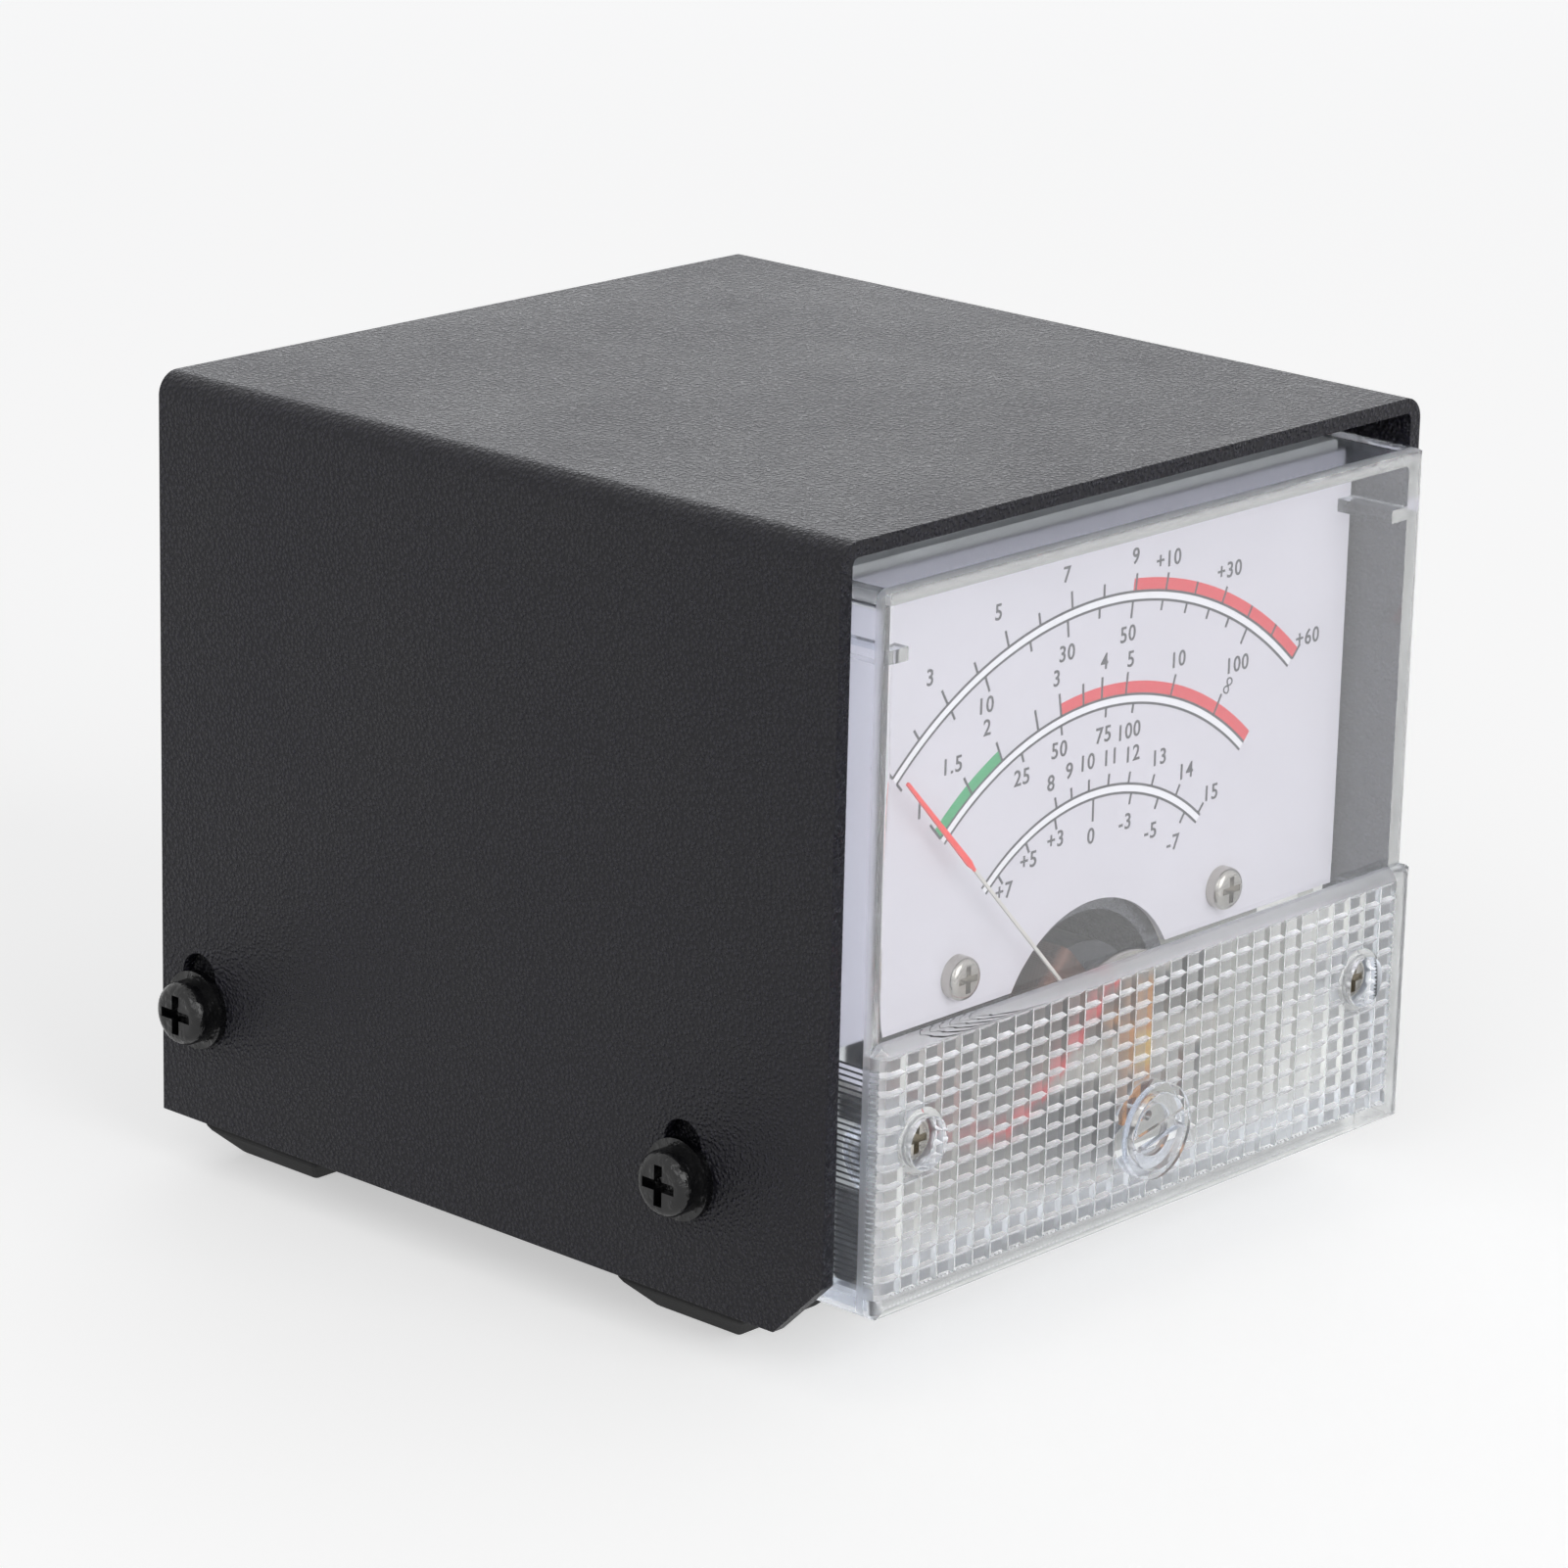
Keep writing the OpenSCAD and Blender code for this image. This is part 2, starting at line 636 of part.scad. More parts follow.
module terminal_nuts() {
    color([0.75, 0.6, 0.3]) in_frame() for (s = [-1, 1]) {
        hex_nut(nut_af, stud_r + run_gap, s * terminal_x, terminal_z, house_y1, house_y1 + nut_t);
        hex_nut(nut_af, stud_r + run_gap, s * terminal_x, terminal_z, house_y1 + nut_t + lug_t,
            house_y1 + 2 * nut_t + lug_t);
    }
}

module solder_lugs() {
    color([0.8, 0.8, 0.78]) in_frame() for (s = [-1, 1])
        slab(house_y1 + nut_t, house_y1 + nut_t + lug_t) translate([s * terminal_x, terminal_z])
            difference() {
                union() {
                    circle(terminal_head_r);
                    translate([-1.25, -lug_l]) square([2.5, lug_l]);
                    translate([0, -lug_l]) circle(1.25);
                }
                circle(stud_r + run_gap);
                translate([0, -lug_l]) circle(0.6);
            }
}

// ---- movement ----

module movement_frame() {
    x = dial_screw_pitch / 2;
    color([0.1, 0.1, 0.1]) in_frame() {
        difference() {
            union() {
                slab(frame_y, frame_y + frame_t)
                    round_rect(-x - 2, pivot_z - yoke_r + 0.3, x + 2, dial_screw_z + 2, 1.5);
                for (s = [-1, 1]) bar(2, s * x, dial_screw_z, dial_y + dial_t, frame_y + eps);
            }
            bar(jewel_r + 0.2 + run_gap, 0, pivot_z, frame_y - 1, frame_y + frame_t + 1);
            for (s = [-1, 1]) {
                bar(0.85, s * x, dial_screw_z, dial_y, dial_y + 8);
                bar(1.05, s * frame_screw_x, frame_screw_z, frame_y - 1, frame_y + frame_t + 1);
            }
        }
        ring_post(45, 4.3, rear_spring_y, frame_y + eps);
    }
}

// A small round post at angle a and radius d from the axis.
module ring_post(a, d, y0, y1) {
    bar(0.4, d * cos(a), pivot_z + d * sin(a), y0, y1);
}

module frame_screws() {
    color([0.75, 0.75, 0.72]) in_frame() for (s = [-1, 1])
        pan_screw(s * frame_screw_x, frame_screw_z, frame_y, 1.7, 1.1, 0.9, frame_t + 2);
}

module yoke_ring() {
    color([0.33, 0.33, 0.35]) in_frame() ring(yoke_r, yoke_in_r, 0, pivot_z, core_y, frame_y);
}

module core_magnet() {
    color([0.25, 0.25, 0.27]) in_frame() bar(core_r, 0, pivot_z, core_y, core_y + core_l);
}

module core_bracket() {
    x = yoke_r - 0.3;
    color([0.8, 0.79, 0.76]) in_frame() slab(bracket_y, core_y) translate([0, pivot_z]) {
        translate([-x, -2]) square([2 * x, 4]);
        circle(3);
    }
}

// Strip across the front of the movement that carries the front jewel, with an arched head,
// two legs back to the core bracket and the two pins that stop the pointer's tail.
module front_bridge() {
    leg_x = yoke_in_r + 0.2;
    color([0.8, 0.78, 0.74]) in_frame() {
        difference() {
            slab(bridge_y, bridge_y + bridge_t) translate([0, pivot_z]) {
                circle(2.4);
                translate([-leg_x - 1, -1.4]) square([2 * leg_x + 2, 2.8]);
                translate([-1.1, 0]) square([2.2, 6.2]);
                intersection() {
                    difference() {
                        circle(7.2);
                        circle(5.9);
                    }
                    translate([-3.5, 0]) square([7, 8]);
                }
                for (s = [-1, 1]) rotate(s * stop_a - 90)
                    translate([0, -0.5]) square([stop_r + 0.5, 1]);
            }
            bar(jewel_r + 0.02, 0, pivot_z, bridge_y - 1, bridge_y + bridge_t + 1);
        }
        for (s = [-1, 1]) {
            block([s > 0 ? leg_x : -leg_x - 1, bridge_y, pivot_z - 1.4],
                [s > 0 ? leg_x + 1 : -leg_x, bracket_y, pivot_z + 1.4]);
            bar(0.45, s * stop_r * sin(stop_a), pivot_z - stop_r * cos(stop_a), bridge_y + 0.1,
                coil_y0 - 0.15);
        }
    }
}

module jewel_screws() {
    color([0.82, 0.7, 0.4]) in_frame() {
        difference() {
            union() {
                bar(jewel_r, 0, pivot_z, bridge_y - 1.1, bridge_y + bridge_t + 0.35);
                bar(jewel_r + 0.4, 0, pivot_z, bridge_y - 1.1, bridge_y - 0.65);
            }
            bar(staff_r + 0.07, 0, pivot_z, bridge_y + bridge_t, bridge_y + bridge_t + 1);
            block([-2, bridge_y - 1.5, pivot_z - 0.2], [2, bridge_y - 0.8, pivot_z + 0.2]);
        }
        difference() {
            bar(jewel_r + 0.2, 0, pivot_z, frame_y - 0.5, frame_y + frame_t + 1);
            bar(staff_r + 0.07, 0, pivot_z, frame_y - 1, frame_y - 0.15);
            block([-2, frame_y + frame_t + 0.5, pivot_z - 0.2],
                [2, frame_y + frame_t + 2, pivot_z + 0.2]);
        }
    }
}

// A flat spiral strip from radius r0 out to radius r1, ending at angle a1.
module spiral(r0, r1, turns, a1, y0) {
    n = 24 * turns;
    t = 0.12;
    function at(i, d) = let (a = a1 - 360 * turns * (1 - i / n), r = r0 + (r1 - r0) * i / n + d)
        [r * cos(a), r * sin(a)];
    slab(y0, y0 + spring_h) translate([0, pivot_z])
        polygon(concat([for (i = [0 : n]) at(i, -t / 2)], [for (i = [n : -1 : 0]) at(i, t / 2)]));
}

module rear_hairspring() {
    color([0.8, 0.62, 0.35]) in_frame() spiral(0.85, 3.84, 4, 45, rear_spring_y);
}

module front_hairspring() {
    color([0.8, 0.62, 0.35]) in_frame() spiral(0.85, 3.7, 4, 135, front_spring_y);
}

// Lever round the front jewel: a fork below for the adjuster's pin and an arm that holds the
// outer end of the front hairspring.
module zero_lever() {
    pin_z = zero_pin_e - zero_drop;
    color([0.83, 0.62, 0.34]) in_frame() {
        difference() {
            slab(lever_y, lever_y + lever_t) translate([0, pivot_z]) difference() {
                union() {
                    circle(2);
                    translate([-1, pin_z - 1]) square([2, 5.2 - pin_z + 1]);
                    rotate(135) translate([0, -0.5]) square([4.7, 1]);
                }
                circle(jewel_r + run_gap);
                translate([-zero_pin_r - 0.12, pin_z - 2])
                    square([2 * zero_pin_r + 0.24, 2.9]);
            }
        }
        translate([0, 0, pivot_z]) rotate([0, -135, 0])
            translate([3.8, lever_y, -0.5]) cube([0.9, front_spring_y + spring_h - lever_y, 1]);
    }
}

// Turns the moving system from pointing straight up to its rest angle.
module at_rest() {
    translate([0, 0, pivot_z]) rotate([0, -rest_a, 0]) children();
}

module moving_coil() {
    color([0.72, 0.4, 0.27]) in_frame() at_rest() rotate([90, 0, 90])
        linear_extrude(coil_b, center = true) difference() {
            round_rect(coil_y0, -coil_r, coil_y1, coil_r, 0.8);
            round_rect(coil_y0 + coil_t, coil_t - coil_r, coil_y1 - coil_t, coil_r - coil_t, 0.3);
        }
}

module pivot_staffs() {
    color([0.6, 0.6, 0.62]) in_frame() {
        bar(staff_r, 0, pivot_z, bridge_y + bridge_t + 0.05, coil_y0);
        bar(hub_r, 0, pivot_z, pointer_y - 0.1, coil_y0);
        bar(staff_r, 0, pivot_z, coil_y1, frame_y - 0.2);
        bar(0.6, 0, pivot_z, coil_y1, rear_spring_y + spring_h);
    }
}

module pointer() {
    color([0.9, 0.25, 0.25]) in_frame() at_rest()
        slab(pointer_y, pointer_y + 0.2) polygon([[-0.25, hub_r - 2 * eps], [0.25, hub_r - 2 * eps],
            [0.13, hub_r + 3], [0.11, pointer_l * 0.68], [0.25, pointer_l * 0.7],
            [0.13, pointer_l], [-0.13, pointer_l], [-0.25, pointer_l * 0.7],
            [-0.11, pointer_l * 0.68], [-0.13, hub_r + 3]]);
}

// Tail and two side arms, each with the small weight that balances the pointer.
module balance_arms() {
    y = pointer_y + 0.32;
    color([0.76, 0.75, 0.72]) in_frame() at_rest() translate([0, y, 0]) {
        for (a = [-90, 90]) rotate([0, a, 0]) {
            translate([0, 0, hub_r - eps]) cylinder(r = 0.16, h = 3.5 - hub_r);
            translate([0, 0, 2.7]) cylinder(r = 0.32, h = 0.7);
        }
        rotate([0, 180, 0]) {
            translate([0, 0, hub_r - eps]) cylinder(r = 0.16, h = 5.6 - hub_r);
            translate([0, 0, 4]) cylinder(r = 0.34, h = 1.5);
        }
    }
}

// Wire from the front bridge round the side of the movement to a terminal.
module coil_lead() {
    z = pivot_z;
    r = 0.4;
    y = bridge_y - r - run_gap;
    x = yoke_r + 8.9;
    color([0.8, 0.12, 0.18]) in_frame() wire(curve([[-3.3, y, z + 6.1], [-12.6, y, z - 1.8],
        [2 - x, y + 3.4, z - 3], [-x, frame_y - 4, z + 4], [-x, frame_y - 3, terminal_z - 6],
        [-terminal_x - terminal_head_r / 2, house_y1 - house_floor - 1 - r - run_gap, terminal_z]],
        3), r);
}

// ---- rear board ----

module circuit_board() {
    color([0.1, 0.35, 0.2]) in_frame() difference() {
        block([-board_w / 2, board_y0, board_z], [board_w / 2, board_y1, board_z + board_t]);
        for (s = [-1, 1]) translate([s * pillar_x, pillar_y, board_z - 1])
            cylinder(r = 1.25, h = board_t + 2);
    }
}

module board_pillars() {
    color([0.8, 0.7, 0.4]) in_frame() for (s = [-1, 1])
        translate([s * pillar_x, pillar_y, floor_z]) difference() {
            cylinder(r = 4.5 / sqrt(3), h = pillar_h, $fn = 6);
            translate([0, 0, -1]) cylinder(r = 1.25, h = pillar_h + 2);
        }
}

module pillar_screws() {
    color([0.7, 0.7, 0.7]) in_frame() for (s = [-1, 1]) translate([s * pillar_x, pillar_y, 0]) {
        translate([0, 0, board_z + board_t]) rotate([-90, 0, 0]) pan_screw(0, 0, 0, 2, 1.4, 1.2, 4.2);
        translate([0, 0, foot_h]) rotate([90, 0, 0]) pan_screw(0, 0, 0, 2, 1.4, 1.2, 4);
    }
}

module resistors() {
    z = board_z + board_t + 1.2;
    color([0.75, 0.62, 0.42]) in_frame() for (x = [-2, 2]) {
        rod([x, board_y0 + 7, z], [x, board_y0 + 13, z], 1.1);
        rod([x, board_y0 + 4.5, z], [x, board_y0 + 15.5, z], 0.3);
        for (y = [4.5, 15.5])
            rod([x, board_y0 + y, board_z + board_t], [x, board_y0 + y, z + 0.3], 0.3);
    }
}

module jack_socket() {
    y1 = rear_y - chassis_t;
    color([0.12, 0.12, 0.12]) in_frame() difference() {
        union() {
            block([jack_x - jack_body[0] / 2, y1 - jack_body[1], jack_z - jack_body[2] / 2],
                [jack_x + jack_body[0] / 2, y1, jack_z + jack_body[2] / 2]);
            bar(jack_r, jack_x, jack_z, y1 - 1, back_y);
        }
        bar(jack_bore_r, jack_x, jack_z, back_y - jack_bore_l, back_y + 1);
    }
}

module jack_nut() {
    color([0.8, 0.8, 0.8]) in_frame()
        hex_nut(8, jack_r + run_gap, jack_x, jack_z, rear_y, rear_y + 2);
}

module trimmer_body() {
    y1 = board_y1 - 1.5;
    color([0.15, 0.3, 0.6]) in_frame() difference() {
        block([trim_x - trim_size / 2, y1 - 5, trim_z - trim_size / 2],
            [trim_x + trim_size / 2, y1, trim_z + trim_size / 2]);
        bar(trim_rotor_r + run_gap, trim_x, trim_z, y1 - 2, y1 + 1);
    }
}

module trimmer_rotor() {
    y1 = board_y1 - 1.5;
    color([0.9, 0.85, 0.7]) in_frame() difference() {
        bar(trim_rotor_r, trim_x, trim_z, y1 - 2 + run_gap, y1 + 0.5);
        block([trim_x - trim_rotor_r, y1 - 0.3, trim_z - 0.3],
            [trim_x + trim_rotor_r, y1 + 1, trim_z + 0.3]);
    }
}

// Leads from the solder lugs down to the front edge of the board.
module lead(s) {
    y = house_y1 + nut_t + lug_t + wire_r + 0.2;
    wire(curve([[s * terminal_x, y, terminal_z - lug_l], [s * terminal_x, y + 5, terminal_z - lug_l - 1],
        [s * 8, board_y0 - 1, board_z + 11], [s * 7, board_y0 + 1.5, board_z + board_t + 0.25]], 4),
        wire_r);
}

module lead_red() {
    color([0.75, 0.1, 0.1]) in_frame() lead(1);
}

module lead_black() {
    color([0.1, 0.1, 0.1]) in_frame() lead(-1);
}

top_cover();
chassis();
cover_screws();
cover_washers();
feet();
meter_lens();
lens_screws();
meter_base();
mounting_studs();
mounting_nuts();
dial_plate();
dial_screws();
movement_frame();
frame_screws();
yoke_ring();
core_magnet();
core_bracket();
front_bridge();
jewel_screws();
rear_hairspring();
coil_lead();
moving_coil();
pivot_staffs();
pointer();
balance_arms();
zero_lever();
front_hairspring();
zero_adjuster();
terminal_studs();
terminal_nuts();
solder_lugs();
lead_red();
lead_black();
circuit_board();
board_pillars();
pillar_screws();
resistors();
jack_socket();
jack_nut();
trimmer_body();
trimmer_rotor();
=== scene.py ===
# %% [markdown]
# # A moving-coil SWR meter in a folded steel case
#
# This lesson dresses a small bench meter for a radio transmitter. The real one is a clear
# acrylic front over a printed dial, a coil movement behind it, and two bent steel sheets
# round the back.
#
# The solid parts come ready-made from the construction model, and are loaded as a frame.
# What is made here is what a drawing of solids can't hold: the print on the dial, and the
# finish of each part. The first cell loads the frame and keeps its size.

# %% Load the frame
import math

import bmesh
import bpy
import numpy as np
from mathutils import Matrix, Vector


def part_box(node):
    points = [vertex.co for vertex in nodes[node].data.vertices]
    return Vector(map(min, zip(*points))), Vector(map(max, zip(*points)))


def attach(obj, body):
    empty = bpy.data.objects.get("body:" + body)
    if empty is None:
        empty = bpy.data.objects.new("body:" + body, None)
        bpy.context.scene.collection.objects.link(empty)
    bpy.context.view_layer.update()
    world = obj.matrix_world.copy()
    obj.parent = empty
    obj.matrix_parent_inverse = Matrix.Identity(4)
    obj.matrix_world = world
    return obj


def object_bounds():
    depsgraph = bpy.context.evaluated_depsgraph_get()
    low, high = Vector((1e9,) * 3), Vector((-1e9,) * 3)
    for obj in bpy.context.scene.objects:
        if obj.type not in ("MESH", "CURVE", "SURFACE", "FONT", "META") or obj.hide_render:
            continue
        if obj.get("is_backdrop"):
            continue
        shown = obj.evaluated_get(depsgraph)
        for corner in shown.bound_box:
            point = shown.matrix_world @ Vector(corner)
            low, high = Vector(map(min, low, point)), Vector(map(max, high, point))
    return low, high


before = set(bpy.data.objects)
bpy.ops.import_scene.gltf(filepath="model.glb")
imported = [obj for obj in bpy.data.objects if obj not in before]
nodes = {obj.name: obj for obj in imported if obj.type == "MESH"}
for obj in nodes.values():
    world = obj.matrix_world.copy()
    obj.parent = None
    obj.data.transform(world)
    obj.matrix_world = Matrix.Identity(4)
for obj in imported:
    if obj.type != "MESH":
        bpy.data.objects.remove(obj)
low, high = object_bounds()
print("parts:", len(nodes), "size in mm:", [round(1000 * s, 1) for s in high - low])

# %% [markdown]
# ## Where things are
#
# The places that the print and the finishes need are read from the frame, so they follow
# the solids. The dial's printed arcs are all struck from the pointer's pivot, as the real
# artwork is. The pivot is midway across the iron ring round the coil, and at the middle of
# the magnet's height.

# %% Read the places that the print and the finishes need
MM = 0.001
dial_low, dial_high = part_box("dial_plate")
ring_low, ring_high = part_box("yoke_ring")
core_low, core_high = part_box("core_magnet")
pivot = Vector(((ring_low.x + ring_high.x) / 2, dial_low.y, (core_low.z + core_high.z) / 2))
face_y = dial_low.y
pointer_low, pointer_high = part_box("pointer")
tip = Vector((pointer_low.x, 0, pointer_high.z))
reach = math.hypot(tip.x - pivot.x, tip.z - pivot.z)
rest_turn = math.atan2(tip.x - pivot.x, tip.z - pivot.z)
print("pivot height in mm:", round(pivot.z / MM, 2), "pointer reach:", round(reach / MM, 2))
print("pointer at rest, in degrees from upright:", round(math.degrees(rest_turn), 1))

# %% [markdown]
# ## Flat solids from rows of corners
#
# Print is a film of ink with a real thickness. Each mark is made as a thin closed solid that
# starts just under the dial's face and ends just in front of it, so it never flickers
# against the plate and it exports as a solid.
#
# A mark is a short row of cross-sections, each with four corners. One function joins the
# sections into a skin and caps both ends, for ticks, arcs and bands alike.

# %% A closed skin from a row of four-cornered sections
INK_BACK = face_y + 0.012 * MM


def skin(sections, closed=False):
    """Corners and faces of a solid swept through sections, an array (steps, 4, 3).

    Corner k of step i is number 4i + k. Side face k of step i joins corners k and k + 1 of
    steps i and i + 1. An open row gets the first and last section as caps.
    """
    steps = len(sections)
    spans = steps if closed else steps - 1
    i, k = np.meshgrid(np.arange(spans), np.arange(4), indexing="ij")
    after = (i + 1) % steps
    turn = (k + 1) % 4
    sides = np.stack([4 * i + k, 4 * after + k, 4 * after + turn, 4 * i + turn], axis=-1)
    faces = sides.reshape(-1, 4)
    if not closed:
        first = np.array([[0, 1, 2, 3]])
        last = 4 * (steps - 1) + np.array([[3, 2, 1, 0]])
        faces = np.concatenate([faces, first, last])
    points = sections.reshape(-1, 3)
    return points, outward(points, faces)


def outward(points, faces):
    """Faces turned to look outwards: the sum of the volumes of the tetrahedra from the
    origin to each face is positive when they do, so a negative sum flips them all."""
    a, b, c, d = (points[faces[:, n]] for n in range(4))
    volume = np.einsum("ij,ij->i", a, np.cross(b, c) + np.cross(c, d)).sum()
    return faces if volume > 0 else faces[:, ::-1]


def gather(solids):
    """One array of corners and one of faces from a list of solids, each with its own count."""
    starts = np.cumsum([0] + [len(points) for points, faces in solids[:-1]])
    points = np.concatenate([points for points, faces in solids])
    faces = np.concatenate([faces + start for (p, faces), start in zip(solids, starts)])
    return points, faces


def add_piece(name, solids, material):
    """Puts a list of solids into one object at the origin, which rides on the case."""
    points, faces = gather(solids)
    mesh = bpy.data.meshes.new(name)
    mesh.from_pydata(points.tolist(), [], faces.tolist())
    mesh.validate()
    mesh.materials.append(material)
    piece = bpy.data.objects.new(name, mesh)
    bpy.context.scene.collection.objects.link(piece)
    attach(piece, "case")
    print(name, "corners:", len(points), "faces:", len(faces))


# %% [markdown]
# ## Small tools for node trees
#
# A material in Blender is a tree of nodes. The helpers below add a node with its values, do
# one sum, mix two colours, and make an empty group with named sockets. A group is a tree
# that can be used in many materials, as a stamp is used on many labels.

# %% Helpers for shader trees
def linear(r, g, b):
    """A screen colour of three values from 0 to 255 as linear light: ((c + 0.055) / 1.055)
    to the power 2.4, and c / 12.92 near black."""
    c = np.array([r, g, b]) / 255
    light = np.where(c > 0.04045, ((c + 0.055) / 1.055) ** 2.4, c / 12.92)
    return (*[float(v) for v in light], 1.0)


def node(tree, kind, settings=None, **inputs):
    """A new node. settings go to the node itself, and inputs to its sockets, where a value
    is set and a socket is linked."""
    made = tree.nodes.new("ShaderNode" + kind)
    for key, value in (settings or {}).items():
        setattr(made, key, value)
    for key, value in inputs.items():
        feed(tree, made.inputs[key.replace("_", " ")], value)
    return made


def feed(tree, socket, value):
    """Links an output to this socket, or sets the socket's own value."""
    if isinstance(value, bpy.types.NodeSocket):
        tree.links.new(value, socket)
    else:
        socket.default_value = value


def sum_of(tree, kind, *values, clamp=False):
    """The output of one Math node of that kind, fed with numbers or sockets."""
    made = tree.nodes.new("ShaderNodeMath")
    made.operation = kind
    made.use_clamp = clamp
    for socket, value in zip(made.inputs, values):
        feed(tree, socket, value)
    return made.outputs[0]


def scaled(tree, colour, factor):
    """A colour or vector times a number."""
    made = node(tree, "VectorMath", {"operation": "SCALE"}, Scale=factor)
    feed(tree, made.inputs[0], colour)
    return made.outputs[0]


def mix_colour(tree, share, first, second):
    """The first colour where share is 0, the second where it is 1. The Mix node keeps its
    colour sockets at places 6 and 7, and its result at 2."""
    made = node(tree, "Mix", {"data_type": "RGBA"}, Factor=share)
    feed(tree, made.inputs[6], first)
    feed(tree, made.inputs[7], second)
    return made.outputs[2]


def group(name, inputs, outputs):
    """An empty node group. inputs and outputs are lists of (title, kind, default)."""
    made = bpy.data.node_groups.new(name, "ShaderNodeTree")
    for way, rows in (("INPUT", inputs), ("OUTPUT", outputs)):
        for title, kind, default in rows:
            kind = "NodeSocket" + kind
            socket = made.interface.new_socket(title, in_out=way, socket_type=kind)
            if default is not None:
                socket.default_value = default
    start = made.nodes.new("NodeGroupInput").outputs
    end = made.nodes.new("NodeGroupOutput").inputs
    return made, start, end


def use(tree, made_group, **inputs):
    """Places a group in a tree and feeds its sockets. Returns its outputs."""
    placed = tree.nodes.new("ShaderNodeGroup")
    placed.node_tree = made_group
    for key, value in inputs.items():
        feed(tree, placed.inputs[key.replace("_", " ")], value)
    return placed.outputs


# %% [markdown]
# ## Grain of the coat
#
# The case is steel under a textured powder coat: beads of polymer that melted into fine,
# soft-edged bumps a third of a millimetre across. It could be carved as real bumps, but
# there would be a hundred thousand of them, so a height pattern bends the light instead.
#
# Each cell of a Voronoi pattern holds one bead: its height is one less the distance from
# the cell's middle. A finer noise is mixed in, and the result is squeezed so that the beads
# are rounded on top with valleys between them. The group is used again, with other sizes,
# for moulded plastic, rubber, enamel and the fine scratches on metal.

# %% A group for grain
grain, start, end = group(
    "coat_grain",
    [("Place", "Vector", None), ("Size", "Float", 0.4 * MM), ("Mix", "Float", 0.5)],
    [("Height", "Float", None)],
)
FINER = 2.7
VALLEY, CROWN = 0.36, 0.72
coarse_scale = sum_of(grain, "DIVIDE", 1.0, start["Size"])
fine_scale = sum_of(grain, "MULTIPLY", coarse_scale, FINER)
cells = node(grain, "TexVoronoi", Vector=start["Place"], Scale=coarse_scale)
beads = sum_of(grain, "SUBTRACT", 1.0, cells.outputs["Distance"])
fine = node(grain, "TexNoise", Vector=start["Place"], Scale=fine_scale, Detail=3.0)
blend_up = node(grain, "Mix", Factor=start["Mix"], A=beads, B=fine.outputs["Fac"])
bump_shape = node(grain, "MapRange", {"interpolation_type": "SMOOTHSTEP"},
                  Value=blend_up.outputs["Result"])
bump_shape.inputs["From Min"].default_value = VALLEY
bump_shape.inputs["From Max"].default_value = CROWN
feed(grain, end["Height"], bump_shape.outputs["Result"])
print("group:", grain.name, [s.name for s in grain.interface.items_tree])

# %% [markdown]
# ## Uneven finish
#
# No finish is even. A coat is thicker here and thinner there, metal takes a little tarnish,
# and hands leave slow patches of gloss. This group moves a colour and a roughness a little
# up and down over patches of a chosen size, with fine specks of dust in the same colour
# family. The slow noise and half of the fine one add up to about 0.75, so that much is taken
# off, and what is left swings round 0.

# %% A group for slow changes of tone and gloss
uneven, start, end = group(
    "uneven_finish",
    [("Place", "Vector", None), ("Colour", "Color", (0.5, 0.5, 0.5, 1)),
     ("Spread", "Float", 0.1), ("Roughness", "Float", 0.4), ("Gloss spread", "Float", 0.1),
     ("Patch", "Float", 12 * MM)],
    [("Colour", "Color", None), ("Roughness", "Float", None)],
)
SPECKS_PER_PATCH = 31.0
USUAL_SUM = 0.75
patch_scale = sum_of(uneven, "DIVIDE", 1.0, start["Patch"])
slow = node(uneven, "TexNoise", Vector=start["Place"], Scale=patch_scale, Detail=4.0,
            Roughness=0.6).outputs["Fac"]
speck_scale = sum_of(uneven, "MULTIPLY", patch_scale, SPECKS_PER_PATCH)
specks = node(uneven, "TexNoise", Vector=start["Place"], Scale=speck_scale,
              Detail=1.0).outputs["Fac"]
both = sum_of(uneven, "MULTIPLY_ADD", specks, 0.5, slow)
shift = sum_of(uneven, "SUBTRACT", both, USUAL_SUM)
swing = sum_of(uneven, "MULTIPLY", shift, start["Spread"])
lighter = sum_of(uneven, "MULTIPLY_ADD", swing, 4.0, 1.0)
gloss_swing = sum_of(uneven, "MULTIPLY", shift, start["Gloss spread"])
roughened = sum_of(uneven, "MULTIPLY_ADD", gloss_swing, 3.0, start["Roughness"], clamp=True)
feed(uneven, end["Colour"], scaled(uneven, start["Colour"], lighter))
feed(uneven, end["Roughness"], roughened)
print("group:", uneven.name)

# %% [markdown]
# ## Threads, turnings and windings
#
# Threads, lathe marks and the turns of a coil are all the same thing to the eye: ridges at
# an even pitch across one direction. The group gives a rounded ridge of a chosen pitch
# along the third axis of the place that it is given, so a Mapping node can aim it. With u
# from -1 to 1 across a ridge, its height is 1 less the square of u.

# %% A group for ridges at an even pitch
ridges, start, end = group(
    "even_ridges",
    [("Place", "Vector", None), ("Pitch", "Float", 0.5 * MM), ("Wander", "Float", 0.0)],
    [("Height", "Float", None)],
)
axes = node(ridges, "SeparateXYZ", Vector=start["Place"])
wobble = node(ridges, "TexNoise", Vector=start["Place"], Scale=900.0,
              Detail=1.0).outputs["Fac"]
drift = sum_of(ridges, "MULTIPLY", sum_of(ridges, "SUBTRACT", wobble, 0.5),
               start["Wander"])
along = sum_of(ridges, "DIVIDE", axes.outputs["Z"], start["Pitch"])
phase = sum_of(ridges, "FRACT", sum_of(ridges, "ADD", along, drift))
offset = sum_of(ridges, "ABSOLUTE", sum_of(ridges, "MULTIPLY_ADD", phase, 2.0, -1.0))
round_top = sum_of(ridges, "SUBTRACT", 1.0, sum_of(ridges, "POWER", offset, 2.0))
